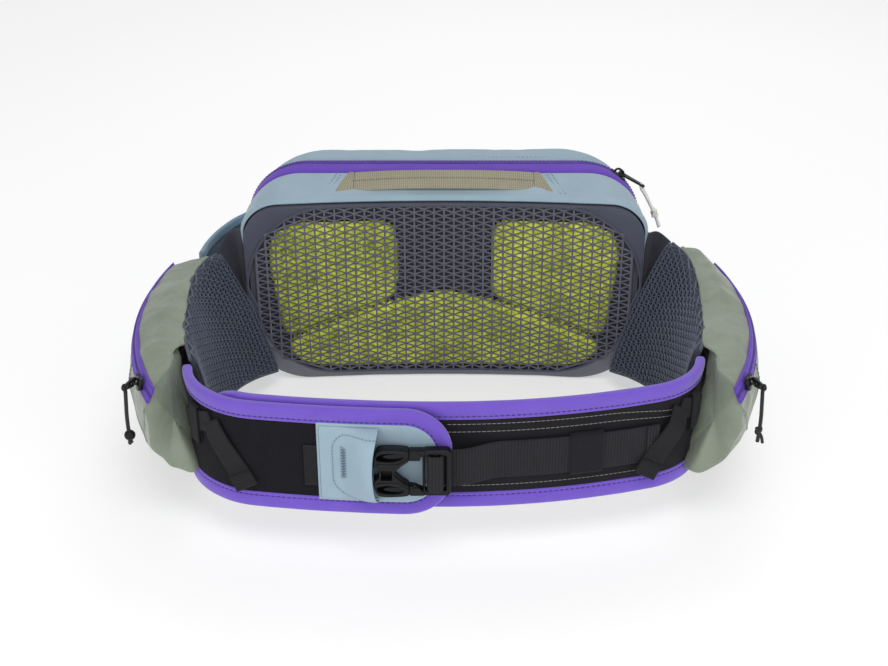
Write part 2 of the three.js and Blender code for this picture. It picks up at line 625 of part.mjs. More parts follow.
// Places a slider and its tab: `along` runs down the zip, `out` away from the tape, and `tilt` lifts the tab.
function buildSlider(name, foot, along, out, tilt, tabLength) {
  const across = V(0, 0, 0).crossVectors(out, along);
  const basis = new THREE.Matrix4().makeBasis(along, across, out);
  const body = add(`${name}_slider`, sliderBody(), M.metal);
  body.position.copy(foot);
  body.quaternion.setFromRotationMatrix(basis);
  const tab = add(`${name}_pull_tab`, pullTab(tabLength), M.metal);
  tab.position.copy(foot.clone().addScaledVector(out, PIVOT_H));
  tab.quaternion.copy(body.quaternion).multiply(new THREE.Quaternion().setFromAxisAngle(V(0, 1, 0), rad(-tilt)));
  const tipOf = V(tabLength - 2.2, 0, 0).applyQuaternion(tab.quaternion).add(tab.position);
  return tipOf;
}

function tube(points, diameter) {
  const route = new THREE.CatmullRomCurve3(points);
  const section = new THREE.Shape().absarc(0, 0, diameter / 2, 0, 2 * Math.PI);
  return new THREE.ExtrudeGeometry(section, { steps: 12, curveSegments: 4, bevelEnabled: false, extrudePath: route });
}

function buildZipPulls() {
  // Main zip: the slider is parked on the right-hand corner of the zip's arch.
  const { zipNear, zipFar } = STATIONS;
  const at = between(zipNear, zipFar, 119);
  const a = rad(52);
  const centre = V(at.half - at.rHigh, 119 - 1.2 * 0.8, at.high - at.rHigh);
  const out = V(Math.cos(a), 0, Math.sin(a));
  const along = V(Math.sin(a), 0, -Math.cos(a));
  const foot = centre.clone().addScaledVector(out, at.rHigh + 1.3 + GAP);
  const tip = buildSlider("main", foot, along, out, 14, 22);
  const cord = [[0, 0, -2.4], [4, 0.6, -9], [8, 0.8, -17], [12, 0.6, -25], [15, 0, -33]];
  add("main_pull_cord", tube(cord.map(([x, y, z]) => tip.clone().add(V(x, y, z))), 3), M.cord);

  // Pocket zips: sliders parked at the front ends, square to the leaning tape, cords hanging straight down.
  for (const side of [-1, 1]) {
    const name = side > 0 ? "right" : "left";
    const angle = POCKET_ZIP.front + 2.2;
    const away = zipArc(side, angle, 1, 0).sub(zipArc(side, angle, 0, 0));
    const forward = V(side * Math.sin(rad(-angle)) * -1, -Math.cos(rad(angle)), 0).normalize();
    const square = away.clone().addScaledVector(UP, ZIP_LEAN).normalize();
    const start = zipArc(side, angle, 249.4, 95).addScaledVector(away, 0.6).addScaledVector(square, 0.8 + 2 * GAP);
    const end = buildSlider(`pocket_${name}`, start, forward, square, 40, 14);
    const fall = [[0, -2.6], [0.5, -11], [1, -20], [1, -29], [0.6, -38]];
    add(`pocket_${name}_cord`, tube(fall.map(([x, z]) => end.clone().add(V(side * x, 0, z))), 2.4), M.blackCord);
  }
  // Outer pocket zip on the outer face.
  const y = STATIONS.face.y + GAP + 2.6 + GAP;
  buildSlider("outer", V(74, y, 102.6), V(1, 0, 0), V(0, 1, 0), 6, 16);
}

buildBackPanel();
buildBagShell();
buildBagFittings();
buildHandle();
buildWing(-1);
buildWing(1);
buildBelt();
buildBuckle();
buildVentStrap(-1);
buildVentStrap(1);
buildZipPulls();

export default pack;
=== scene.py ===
import math

import bmesh
import bpy
import numpy as np
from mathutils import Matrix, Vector, noise


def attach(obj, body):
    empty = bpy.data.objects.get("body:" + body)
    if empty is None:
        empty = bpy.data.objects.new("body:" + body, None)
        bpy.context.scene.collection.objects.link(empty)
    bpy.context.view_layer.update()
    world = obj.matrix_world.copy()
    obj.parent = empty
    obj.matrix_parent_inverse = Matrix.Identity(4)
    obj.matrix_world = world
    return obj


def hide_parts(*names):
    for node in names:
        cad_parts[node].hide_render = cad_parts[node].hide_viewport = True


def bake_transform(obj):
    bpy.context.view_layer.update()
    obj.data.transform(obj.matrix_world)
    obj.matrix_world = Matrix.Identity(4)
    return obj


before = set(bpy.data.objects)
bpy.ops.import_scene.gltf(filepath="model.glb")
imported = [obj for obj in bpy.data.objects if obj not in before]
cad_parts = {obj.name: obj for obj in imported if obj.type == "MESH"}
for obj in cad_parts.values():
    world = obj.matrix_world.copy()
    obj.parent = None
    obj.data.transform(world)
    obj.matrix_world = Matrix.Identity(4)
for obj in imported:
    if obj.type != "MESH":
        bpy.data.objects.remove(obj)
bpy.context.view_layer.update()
MM = 0.001
X, Y, Z = np.eye(3)
SIDES = ((-1, "left"), (1, "right"))
SIX = np.linspace(0, 2 * math.pi, 6, endpoint=False)[:, None]


# ---------- numbers and curves ----------
def vec(*values):
    return np.array(values, float)


def xyz(x, y, z):
    """Points from coordinates that are numbers or arrays."""
    return np.stack(np.broadcast_arrays(x, y, z), -1).astype(float)


def unit(v):
    return v / np.maximum(np.linalg.norm(v, axis=-1, keepdims=True), 1e-9)


def lerp(a, b, t):
    return a + (b - a) * t


def smoothstep(t, low=0.0, high=1.0):
    t = np.clip((t - low) / (high - low), 0, 1)
    return t * t * (3 - 2 * t)


def curve_point(a, b, c, d, t):
    """A Catmull-Rom curve from b to c, with a and d as the points before and after them."""
    return 0.5 * (2 * b + (c - a) * t + (2 * a - 5 * b + 4 * c - d) * t**2 + (3 * b - a - 3 * c + d) * t**3)


def spline(points, n):
    """n points, evenly spaced in the parameter, on a smooth curve through the given ones."""
    p = np.array(points, float)
    p = np.vstack([2 * p[0] - p[1], p, 2 * p[-1] - p[-2]])
    made = []
    for t in np.linspace(0, len(p) - 3, n):
        i = min(int(t), len(p) - 4)
        made.append(curve_point(*p[i : i + 4], t - i))
    return np.array(made)


def closed_spline(points, n=10):
    """The same for a closed outline, with n points for each given one."""
    p = np.array(points, float)
    steps = np.linspace(0, 1, n, endpoint=False)
    return np.array([curve_point(*np.roll(p, 1 - i, 0)[:4], t) for i in range(len(p)) for t in steps])


def lengths(path):
    return np.concatenate([[0], np.cumsum(np.linalg.norm(np.diff(path, axis=0), axis=1))])


def resample(path, step, *others):
    """The path at even steps of arc length, with the other arrays carried along."""
    s = lengths(path)
    steps = np.arange(0, s[-1], step)
    return [np.stack([np.interp(steps, s, column) for column in a.T], 1) for a in (path, *others)]


def tangents(path):
    return unit(np.gradient(path, axis=0))


def wobble(p, scale, seed=0.0):
    """Smooth noise in -1..1 at each point."""
    flat = np.asarray(p).reshape(-1, 3) / scale + seed
    return np.array([noise.noise(Vector(q)) for q in flat]).reshape(np.shape(p)[:-1])


# ---------- meshes ----------
def modifier(ob, kind, **settings):
    made = ob.modifiers.new(kind.title(), kind)
    for key, value in settings.items():
        setattr(made, key, value)


def edit(ob, change):
    """Runs change(work) on the object's mesh, opened as a bmesh."""
    work = bmesh.new()
    work.from_mesh(ob.data)
    change(work)
    work.to_mesh(ob.data)
    work.free()


def finish(name, verts, faces, material, body="pack", uv=None, replaces=(), slot=None, gap=0.0, thick=0.0,
           towards=-1.0, soft=False):
    """Makes a piece. gap welds close points, thick adds depth towards a side, soft subdivides it."""
    mesh = bpy.data.meshes.new(name)
    mesh.from_pydata((np.asarray(verts) * MM).tolist(), [], faces)
    if uv is not None:
        layer = mesh.uv_layers.new(name="UVMap")
        layer.data.foreach_set("uv", np.asarray(uv, np.float32).ravel())
    mesh.polygons.foreach_set("use_smooth", [True] * len(mesh.polygons))
    mesh.materials.append(material)
    mesh.update()
    ob = bpy.data.objects.new(name, mesh)
    bpy.context.scene.collection.objects.link(ob)
    if body:
        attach(ob, body)
    if replaces:
        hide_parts(*replaces)
    if gap:
        edit(ob, lambda work: bmesh.ops.remove_doubles(work, verts=work.verts, dist=gap * MM))
    if thick:
        modifier(ob, "SOLIDIFY", thickness=thick * MM, offset=towards)
    if soft:
        modifier(ob, "SUBSURF", levels=1, render_levels=1)
    return ob


def skin(n, m, u, v, closed, caps, flip=False, start=0):
    """Faces and their uv corners over n rows of m points. closed joins each row's end to its start."""
    faces, uv = [], []
    for i in range(n - 1):
        for j in range(m if closed else m - 1):
            k = (j + 1) % m
            quad = [(i, j, j), (i, k, j + 1), (i + 1, k, j + 1), (i + 1, j, j)]
            if flip:
                quad.reverse()
            faces.append([start + a * m + b for a, b, _ in quad])
            uv += [(u[a], v[c]) for a, _, c in quad]
    if caps:
        for i, turn in ((0, not flip), (n - 1, flip)):
            order = range(m)[::-1] if turn else range(m)
            faces.append([start + i * m + j for j in order])
            uv += [(u[i], v[j]) for j in order]
    return faces, uv


def grid(name, P, material, body="pack", closed=False, caps=False, flip=False, **more):
    """A surface through rows of points, with its uv in millimetres. caps closes the two end rows."""
    P = np.asarray(P, float)
    n, m = P.shape[:2]
    ring = np.concatenate([P, P[:, :1]], 1) if closed else P
    u = np.append(0, np.cumsum(np.linalg.norm(np.diff(P, axis=0), axis=2).mean(1)))
    v = np.append(0, np.cumsum(np.linalg.norm(np.diff(ring, axis=1), axis=2).mean(0)))
    faces, uv = skin(n, m, u, v, closed, caps, flip)
    return finish(name, P.reshape(-1, 3), faces, material, body, uv, **more)


def many(name, parts, material, body="pack", **more):
    """One mesh made of many equal closed grids of points, such as stitches or teeth."""
    parts = np.array(parts)
    n, m = parts.shape[1:3]
    faces, uv = [], []
    for start in range(0, len(parts) * n * m, n * m):
        part_faces, part_uv = skin(n, m, range(n), range(m + 1), True, True, start=start)
        faces += part_faces
        uv += part_uv
    return finish(name, parts.reshape(-1, 3), faces, material, body, uv, **more)


def flat_section(width, thick, edge=None, points=4):
    """A strip's cross-section: a rounded rectangle as (across, out) pairs, with extra points on its faces."""
    r = min(edge or thick / 2, thick / 2)
    w, t = width / 2 - r, thick / 2 - r

    def corner(cx, cy, start):
        a = np.radians(start + 30 * np.arange(4))
        return np.stack([cx + r * np.cos(a), cy + r * np.sin(a)], 1)

    along = lerp(w, -w, np.arange(1, points + 1) / (points + 1))
    top = np.stack([along, 0 * along + thick / 2], 1)
    return np.vstack([corner(w, t, 0), top, corner(-w, t, 90), corner(-w, -t, 180), -top, corner(w, -t, 270)])


def ribbon(name, path, across, out, section, material, body="pack", **more):
    """A strip swept along a path, its section turned to face out. section is one shape or one a step."""
    path = np.asarray(path, float)
    across, out = (np.broadcast_to(a, path.shape)[:, None] for a in (across, out))
    shape = np.broadcast_to(section, (len(path), *np.shape(section)[-2:]))
    P = path[:, None] + shape[..., :1] * across + shape[..., 1:] * out
    return grid(name, P, material, body, closed=True, caps=True, **more)


def tube(name, path, radius, material, body="pack", sides=10, **more):
    """A tube round a path, with a frame that doesn't twist. radius is one number or one for each point."""
    path = np.asarray(path, float)
    along = tangents(path)
    side = unit(np.cross(along[0], vec(0.3, 0.2, 1)))
    a = np.linspace(0, 2 * math.pi, sides, endpoint=False)[:, None]
    rings = []
    for p, t, r in zip(path, along, np.broadcast_to(radius, len(path))):
        side = unit(side - t * (side @ t))
        rings.append(p + r * (np.cos(a) * side + np.sin(a) * np.cross(t, side)))
    return grid(name, rings, material, body, closed=True, caps=True, flip=True, **more)


def stitches(name, path, normal, material, body="pack", length=2.3, pitch=3.2, width=0.65):
    """A row of thread stitches along a path on a surface with the given normals."""
    path = np.asarray(path, float)
    points, normals = resample(path, pitch, np.broadcast_to(normal, path.shape))
    profile = [(-0.5, 0.25), (-0.34, 0.85), (0, 1.0), (0.34, 0.85), (0.5, 0.25)]
    made = []
    for p, n, t in zip(points, unit(normals), tangents(points)):
        ring = np.cos(SIX) * np.cross(n, t) + 0.7 * np.sin(SIX) * n
        made.append([p + t * length * at + n * width * 0.35 * (full - 0.6) + width / 2 * full * ring
                     for at, full in profile])
    many(name, made, material, body)


def teeth(name, points, normals, along, sideways, profile):
    """A zip's coil: small ribs that reach to one side and the other by turns."""
    made = []
    for k, (p, n, t) in enumerate(zip(points, normals, along)):
        side = sideways if k % 2 else -sideways
        ring = 0.42 * (np.cos(SIX) * t + np.sin(SIX) * n)
        made.append([p + side * at + 0.45 * n + full * ring for at, full in profile])
    many(name, made, COIL, slot="zip")


def numbered(cells, keep, place):
    """The cells' points that are kept, and each one's number. cells gives (cell, (u, v)) pairs."""
    index, verts = {}, []
    for cell, (u, v) in cells:
        if keep(u, v):
            index[cell] = len(verts)
            verts.append(place(u, v))
    return index, verts


def lattice(name, surface, width, height, pitch, rise, keep, material, strand, **more):
    """Open knitted mesh: a triangular lattice of round strands with upright columns, on surface(u, v)."""
    cols, rows = int(width / pitch) + 1, int(height / rise) + 2
    cells = (((i, j), (i * pitch, (j + 0.5 * (i % 2)) * rise)) for i in range(cols + 1) for j in range(rows))
    index, verts = numbered(cells, keep, surface)
    faces = []
    for i in range(cols):
        for j in range(rows):
            odd = i % 2
            pair = [((i, j), (i + 1, j + odd), (i, j + 1)), ((i, j + 1 - odd), (i + 1, j), (i + 1, j + 1))]
            faces += [[index[k] for k in corners] for corners in pair if all(k in index for k in corners)]
    ob = finish(name, verts, faces, material, **more)
    modifier(ob, "WIREFRAME", thickness=strand * MM, use_even_offset=False, use_boundary=True,
             use_replace=True, offset=0.0)


def cut_sheet(name, xs, zs, keep, place, material, **more):
    """A sheet over the grid points that are kept, each put at place(x, z)."""
    cells = (((i, j), (x, z)) for i, x in enumerate(xs) for j, z in enumerate(zs))
    index, verts = numbered(cells, keep, place)
    faces = []
    for i in range(len(xs) - 1):
        for j in range(len(zs) - 1):
            corners = [(i, j), (i + 1, j), (i + 1, j + 1), (i, j + 1)]
            if all(k in index for k in corners):
                faces.append([index[k] for k in corners])
    return finish(name, verts, faces, material, **more)


# ---------- materials ----------
def rgb(r, g, b):
    """A colour given in 0..255 display values, as linear light."""
    return tuple((c / 255) / 12.92 if c <= 10 else ((c / 255 + 0.055) / 1.055) ** 2.4
                 for c in (r, g, b)) + (1.0,)


class Shader:
    """A Principled material with small helpers for its procedural nodes. Its uv are in millimetres."""

    def __init__(self, name, sheen=0.0, specular=0.5):
        self.m = bpy.data.materials.new(name)
        self.m.use_nodes = True
        self.tree = self.m.node_tree
        self.main = self.tree.nodes["Principled BSDF"].inputs
        self.main["Specular IOR Level"].default_value = specular
        self.main["Sheen Weight"].default_value = sheen
        coords = self.tree.nodes.new("ShaderNodeTexCoord").outputs
        self.place = coords["Object"]
        split = self.tree.nodes.new("ShaderNodeSeparateXYZ")
        self.put(split.inputs[0], coords["UV"])
        self.u, self.v = split.outputs[0], split.outputs[1]

    def put(self, socket, value):
        if isinstance(value, bpy.types.NodeSocket):
            self.tree.links.new(value, socket)
        else:
            socket.default_value = value

    def math(self, kind, *values):
        node = self.tree.nodes.new("ShaderNodeMath")
        node.operation = kind
        for socket, value in zip(node.inputs, values):
            self.put(socket, value)
        return node.outputs[0]

    def wave(self, coord, pitch):
        return self.math("SINE", self.math("MULTIPLY", coord, 2 * math.pi / pitch))

    def ribs(self, coord, pitch):
        return self.math("ABSOLUTE", self.wave(coord, pitch))

    def total(self, a, much, b, more, start=0.0):
        """a * much + b * more + start."""
        return self.math("MULTIPLY_ADD", a, much, self.math("MULTIPLY_ADD", b, more, start))

    def noise(self, size, detail=3.0):
        """Noise whose largest features are about size millimetres."""
        node = self.tree.nodes.new("ShaderNodeTexNoise")
        node.inputs["Scale"].default_value = 1000.0 / size
        node.inputs["Detail"].default_value = detail
        node.inputs["Roughness"].default_value = 0.55
        self.put(node.inputs["Vector"], self.place)
        return node.outputs[0]

    def colour(self, factor, dark, light):
        node = self.tree.nodes.new("ShaderNodeMix")
        node.data_type = "RGBA"
        for k, value in ((0, factor), (6, rgb(*dark)), (7, rgb(*light))):
            self.put(node.inputs[k], value)
        self.put(self.main["Base Color"], node.outputs[2])

    def rough(self, grain, much, base):
        self.put(self.main["Roughness"], self.math("MULTIPLY_ADD", grain, much, base))

    def bump(self, height, depth, strength):
        """Adds a bump whose full height is depth millimetres, over any before it."""
        node = self.tree.nodes.new("ShaderNodeBump")
        node.inputs["Strength"].default_value = strength
        node.inputs["Distance"].default_value = depth * MM
        self.put(node.inputs["Height"], height)
        for before in self.main["Normal"].links:
            self.put(node.inputs["Normal"], before.from_socket)
        self.put(self.main["Normal"], node.outputs[0])


def plain_weave(s, pitch):
    """Over-and-under of a plain weave, from -1 to 1."""
    return s.math("MULTIPLY", s.wave(s.u, 2 * pitch), s.wave(s.v, 2 * pitch))


def nylon(name, light, dark, pitch=0.7, rough=0.62, sheen=0.15, crinkle=0.35):
    s = Shader(name, sheen, 0.35)
    s.colour(s.total(plain_weave(s, pitch), 0.12, s.noise(34, 4), 0.9, 0.02), dark, light)
    s.rough(s.noise(6, 2), 0.16, rough - 0.08)
    s.bump(s.noise(9), crinkle, 0.5)
    s.bump(plain_weave(s, pitch), 0.06, 0.6)
    return s.m


def knit(name, light, dark, wale=1.1, course=0.9, rough=0.85, sheen=0.35, depth=0.12):
    s = Shader(name, sheen, 0.2)
    loop = s.math("MULTIPLY", s.ribs(s.v, 2 * wale), s.math("MULTIPLY_ADD", s.wave(s.u, course), 0.3, 0.7))
    s.colour(s.total(loop, 0.5, s.noise(20), 0.5), dark, light)
    s.rough(s.noise(3, 2), 0.12, rough - 0.06)
    s.bump(loop, depth, 0.8)
    return s.m


def ribbed(name, light, dark, rib=1.9, pick=0.6, depth=0.28):
    """Webbing: ribs across its length with fine picks between."""
    s = Shader(name, 0.04, 0.25)
    thread = s.math("MULTIPLY_ADD", s.wave(s.v, pick * 2), 0.5, 0.5)
    height = s.total(thread, 0.25, s.ribs(s.u, 2 * rib), 0.75)
    s.colour(s.total(s.noise(14), 0.35, height, 0.7), dark, light)
    s.rough(s.noise(2.5, 2), 0.14, 0.71)
    s.bump(height, depth, 0.9)
    return s.m


def moulded(name, light, dark, rough):
    s = Shader(name, specular=0.25)
    s.colour(s.noise(7), dark, light)
    s.rough(s.noise(0.7, 2), 0.16, rough - 0.08)
    s.bump(s.noise(0.5, 2), 0.03, 0.35)
    return s.m


def elastic(name, light, dark):
    s = Shader(name, 0.04, 0.12)
    height = s.total(s.ribs(s.v, 2.6), 0.55, s.ribs(s.u, 3.4), 0.45)
    s.colour(s.total(s.noise(9), 0.4, height, 0.6), dark, light)
    s.rough(s.noise(2, 2), 0.1, 0.85)
    s.bump(height, 0.25, 0.9)
    return s.m


def foam(name, light, dark):
    s = Shader(name, 0.15, 0.12)
    s.main["Sheen Tint"].default_value = rgb(240, 255, 120)
    # Besides the foam's open cells, this noise at strong contrast paints highlights: bright specks of light
    # caught in the mesh's holes over the foam.
    cell = s.noise(2.6)
    s.colour(s.total(cell, 1.7, s.noise(30, 2), 0.9, -0.85), dark, light)
    s.rough(cell, 0.1, 0.8)
    s.bump(cell, 0.5, 0.7)
    return s.m


def strand(name, light, dark):
    s = Shader(name, 0.2, 0.25)
    fibre = s.noise(0.7)
    s.colour(s.total(fibre, 0.7, s.noise(25, 2), 0.3), dark, light)
    s.rough(fibre, 0.12, 0.7)
    s.bump(fibre, 0.15, 0.8)
    return s.m


def braided(name, light, dark):
    s = Shader(name, 0.2, 0.3)
    crossing = [s.wave(s.math(kind, s.u, s.v), 1.1) for kind in ("ADD", "SUBTRACT")]
    height = s.math("MULTIPLY_ADD", s.math("MULTIPLY", *crossing), 0.5, 0.5)
    s.colour(s.total(s.noise(4, 2), 0.3, height, 0.7), dark, light)
    s.rough(height, 0.1, 0.68)
    s.bump(height, 0.2, 0.9)
    return s.m


SHELL = nylon("shell_nylon", (156, 178, 191), (130, 153, 167))
FAR_SHELL = nylon("shell_nylon_outer", (153, 175, 187), (128, 151, 165), crinkle=0.8)
OLIVE = nylon("olive_nylon", (141, 150, 134), (102, 113, 96), pitch=0.55, rough=0.36, sheen=0.2, crinkle=2.2)
CHARCOAL = nylon("charcoal_fabric", (79, 83, 98), (59, 62, 76), rough=0.75, crinkle=0.2)
RIM = nylon("rim_fabric", (112, 114, 122), (86, 87, 96), rough=0.6, crinkle=0.2)
UNDER = nylon("under_mesh_fabric", (58, 61, 76), (41, 43, 57), rough=0.9, crinkle=0.2)
GROUND = nylon("panel_ground_knit", (84, 84, 97), (60, 60, 72), rough=0.9, crinkle=0.2)
# Dark-grey cloth, darker than the charcoal so that it also holds painted shade for the shadowed fold beside
# the wing.
FOLD_CLOTH_AND_SHADE = nylon("fold_cloth_and_shade", (56, 57, 68), (38, 39, 48), rough=0.8, crinkle=0.5)
# Lime foam whose light end is the painted highlight colour of the bright specks in the mesh's holes.
LIME_WITH_HIGHLIGHTS = foam("lime_foam_painted_highlights", (236, 246, 96), (104, 116, 6))
STRAND = strand("mesh_strand", (118, 118, 132), (84, 84, 97))
WING_STRAND = strand("wing_mesh_strand", (90, 98, 118), (57, 64, 81))
VIOLET = knit("violet_binding", (119, 89, 200), (95, 67, 175), wale=0.7, course=0.7, rough=0.7, depth=0.05)
ZIP = knit("violet_zip_tape", (112, 76, 190), (84, 50, 158), wale=0.9, course=1.6, rough=0.6, sheen=0.1)
COIL = moulded("violet_coil", (88, 56, 160), (58, 34, 116), rough=0.45)
ELASTIC = elastic("black_elastic", (28, 27, 33), (8, 8, 11))
FLAP_CLOTH = knit("flap_cloth", (32, 30, 37), (13, 12, 16), wale=0.8, course=0.8, sheen=0.04)
WEBBING = ribbed("black_webbing", (37, 36, 42), (10, 10, 13))
TAPE = ribbed("black_tape", (25, 25, 30), (10, 10, 13), rib=0.8, depth=0.12)
TAG = ribbed("blank_tag_tape", (26, 26, 30), (12, 12, 15), rib=0.5, depth=0.06)
HANDLE = ribbed("tan_webbing", (164, 160, 140), (114, 111, 94), rib=1.5, pick=1.1, depth=0.3)
STRETCH = knit("stretch_knit", (122, 152, 176), (58, 82, 104), wale=1.4, course=1.8, depth=0.5)
HEM = knit("stretch_hem", (140, 168, 188), (92, 120, 142), wale=1.2, course=1.2, depth=0.3)
PLASTIC = moulded("black_plastic", (14, 15, 19), (7, 8, 10), rough=0.42)
METAL = moulded("black_metal", (30, 30, 35), (14, 14, 18), rough=0.3)
BLACK_CORD = braided("black_cord", (36, 36, 42), (12, 12, 15))
WHITE_CORD = braided("white_cord", (248, 246, 238), (212, 210, 200))
THREAD_VIOLET = strand("violet_thread", (74, 44, 146), (52, 28, 114))
THREAD_BLUE = strand("blue_thread", (104, 126, 142), (80, 100, 116))
THREAD_PALE = strand("pale_blue_thread", (134, 154, 168), (112, 132, 146))
THREAD_OLIVE = strand("olive_thread", (104, 112, 102), (84, 92, 84))
THREAD_LIGHT = strand("light_thread", (150, 146, 140), (110, 106, 102))
THREAD_DARK = strand("dark_thread", (50, 50, 58), (30, 30, 36))
THREAD_TAN = strand("tan_thread", (120, 114, 92), (96, 90, 72))
ZIP_STITCH = dict(length=1.9, pitch=2.8, width=0.5)


# ---------- the bag ----------
PANEL_Y, PANEL_BOW, PANEL_HALF, PANEL_TOP = 74.0, 10.0, 142.0, 137.0
# y, half width, lowest, highest, lower and upper corner radius, bow
STATIONS = np.array([
    [84, 142.4, -0.4, 137.6, 45, 25, 10],
    [87, 142.0, 0.0, 138.4, 45, 27, 9],
    [97, 142.2, -0.2, 142.6, 45, 33, 4],
    [106, 141.2, 0.2, 146.0, 45, 38, 0],
    [107, 140.6, 0.6, 145.6, 45, 38, 0],
    [109, 141.4, 0.0, 146.8, 45, 39, 0],
    [117, 141.2, 0.0, 148.0, 45, 41, 0],
    [124, 140.0, 0.0, 148.4, 45, 42, 0],
    [125.4, 138.8, 0.8, 147.4, 45, 42, 0],
    [127, 139.2, 0.4, 148.2, 45, 42, 0],
    [134, 136.5, 0.8, 150.2, 45, 44, 0],
    [141, 129.0, 3.4, 150.0, 45, 46, 0],
    [146, 121.0, 7.0, 146.5, 43, 44, 0],
    [149, 113.0, 12.0, 141.0, 40, 40, 0],
    [151, 102.0, 20.0, 134.0, 36, 36, 0],
    [151.4, 90.0, 30.0, 124.0, 30, 30, 0],
])
OUTER_FACE_Y = 151.3


def panel_back(x):
    return -PANEL_BOW * (x / PANEL_HALF) ** 2


def outline(half_high, half_low, low, high, r_low, r_high, n_side=14, n_edge=36, n_corner=16):
    """A rounded trapezoid in XZ, from the right side's middle round by the top, with a fixed point count."""
    def arc(cx, cz, r, start):
        a = np.radians(start + np.linspace(0, 90, n_corner, endpoint=False))
        return np.stack([cx + r * np.cos(a), cz + r * np.sin(a)], 1)

    def line(a, b, n):
        return lerp(vec(*a), vec(*b), np.linspace(0, 1, n, endpoint=False)[:, None])

    mid = ((half_high + half_low) / 2, (low + r_low + high - r_high) / 2)
    top_x, top_z, low_x, low_z = half_high - r_high, high - r_high, half_low - r_low, low + r_low
    return np.vstack([
        line(mid, (half_high, top_z), n_side),
        arc(top_x, top_z, r_high, 0),
        line((top_x, high), (-top_x, high), n_edge),
        arc(-top_x, top_z, r_high, 90),
        line((-half_high, top_z), (-half_low, low_z), 2 * n_side),
        arc(-low_x, low_z, r_low, 180),
        line((-low_x, low), (low_x, low), n_edge),
        arc(low_x, low_z, r_low, 270),
        line((half_low, low_z), mid, n_side),
    ])


def station(y):
    return [np.interp(y, STATIONS[:, 0], STATIONS[:, k]) for k in range(7)]


def bag_ring(y, grow=0.0):
    _, half, low, high, r_low, r_high, bow = station(y)
    x, z = outline(half + grow, half + grow, low - grow, high + grow, r_low + grow, r_high + grow).T
    return xyz(x, y - bow * (x / PANEL_HALF) ** 2, z)


def ring_normals(ring):
    t = np.roll(ring, -1, 0) - np.roll(ring, 1, 0)
    return unit(xyz(t[:, 2], 0, -t[:, 0]))


def bag_surface(ys, crease, seed):
    """Rings of cloth with soft creases that die away at both seams. The flat bottom stays flat."""
    rings = []
    for k, y in enumerate(ys):
        ring = bag_ring(y)
        inside = math.sin(math.pi * (k + 0.35) / (len(ys) - 0.3)) ** 0.7
        fold = wobble(ring * (1, 2.2, 1), 34, seed) + 0.45 * wobble(ring * (1.6, 1, 1.6), 13, seed + 9)
        lift = inside * (1.1 + crease * fold) * smoothstep(ring[:, 2], 3, 22)
        lift = lift * (1 - 0.85 * smoothstep(y, 146, 150))
        # At its first rows the cloth wraps over the back panel's edge, above the wings.
        curl = 0.9 - 1.2 * (1 - smoothstep(y, 76.6, 79.6))
        lift += (1 - smoothstep(y, 80, 86)) * lerp(-2.6, curl, smoothstep(ring[:, 2], 104, 126))
        rings.append(ring + ring_normals(ring) * lift[:, None])
    return np.array(rings)


def only(rings, keep):
    """The part of each ring where keep holds, as one open run of columns."""
    columns = [j for j in range(rings.shape[1]) if keep(rings[0, j])]
    breaks = [k for k in range(1, len(columns)) if columns[k] != columns[k - 1] + 1]
    if breaks:
        columns = columns[breaks[0] :] + columns[: breaks[0]]
    return rings[:, columns]


def build_bag():
    near_ys = np.append([76.6, 77.3], np.linspace(78.2, 106.6, 16))
    grid("bag_near_wall", bag_surface(near_ys, 0.8, 3), SHELL, closed=True,
         replaces=["bag_gusset", "back_board"], slot="shell", thick=1.4, soft=True)
    # Below the zip's ends the gusset runs through in its place.
    middle = bag_surface(np.linspace(106.9, 125.4, 12), 0.25, 5)
    grid("bag_lower_wall", only(middle, lambda p: p[2] < 39), SHELL, slot="shell", thick=1.3, soft=True)
    grid("main_zip_band", only(middle, lambda p: p[2] > 31), ZIP, replaces=["main_zip_tape"], slot="zip",
         thick=1.2, soft=True)
    # The outer wall's last ring draws in over the flat outer face.
    outer = bag_surface(np.append(np.linspace(125.7, 141, 10), np.linspace(143, 151.3, 9)), 1.3, 11)
    last, centre = outer[-1], vec(0, 151.6, 77)
    cap = [lerp(last, centre, t) + Y * (0.3 * math.sin(math.pi * t) * wobble(last + t * 40, 25, 4))[:, None]
           for t in (0.12, 0.3, 0.5, 0.7, 0.88, 0.97)]
    grid("bag_outer_wall", np.concatenate([outer, cap]), FAR_SHELL, closed=True, replaces=["outer_shell"],
         slot="shell", thick=1.3, soft=True)


def ring_line(y, grow, low_z):
    """An open line round the bag at one y, above low_z, with its outward normals."""
    ring = bag_ring(y, grow)
    return only(np.stack([ring, ring_normals(ring)]), lambda p: p[2] > low_z)


def build_main_zip():
    # The coil: two interleaved rows of small ribs on a low ridge, between the tape's rows of stitches.
    path, out = ring_line(119.0, 2.2, 34)
    ribbon("main_zip_ridge", path, Y, out, flat_section(4.2, 1.0, 0.45), COIL, replaces=["main_zip_coil"],
           slot="zip", soft=True)
    points, normals = resample(path, 1.25, out)
    teeth("main_zip_teeth", points, unit(normals), tangents(points), Y,
          ((0.1, 0.5), (0.7, 1), (1.5, 1), (1.95, 0.4)))
    for k, (y, grow) in enumerate(((108.9, 1.3), (115.2, 1.9), (122.6, 1.9), (124.2, 1.3))):
        stitches(f"main_zip_stitch_{k}", *ring_line(y, grow, 34), THREAD_VIOLET, **ZIP_STITCH)
    for k, y in enumerate((103.6, 129.4)):
        stitches(f"bag_seam_stitch_{k}", *ring_line(y, 1.6, 6), THREAD_BLUE, length=2.2, pitch=3.1, width=0.5)


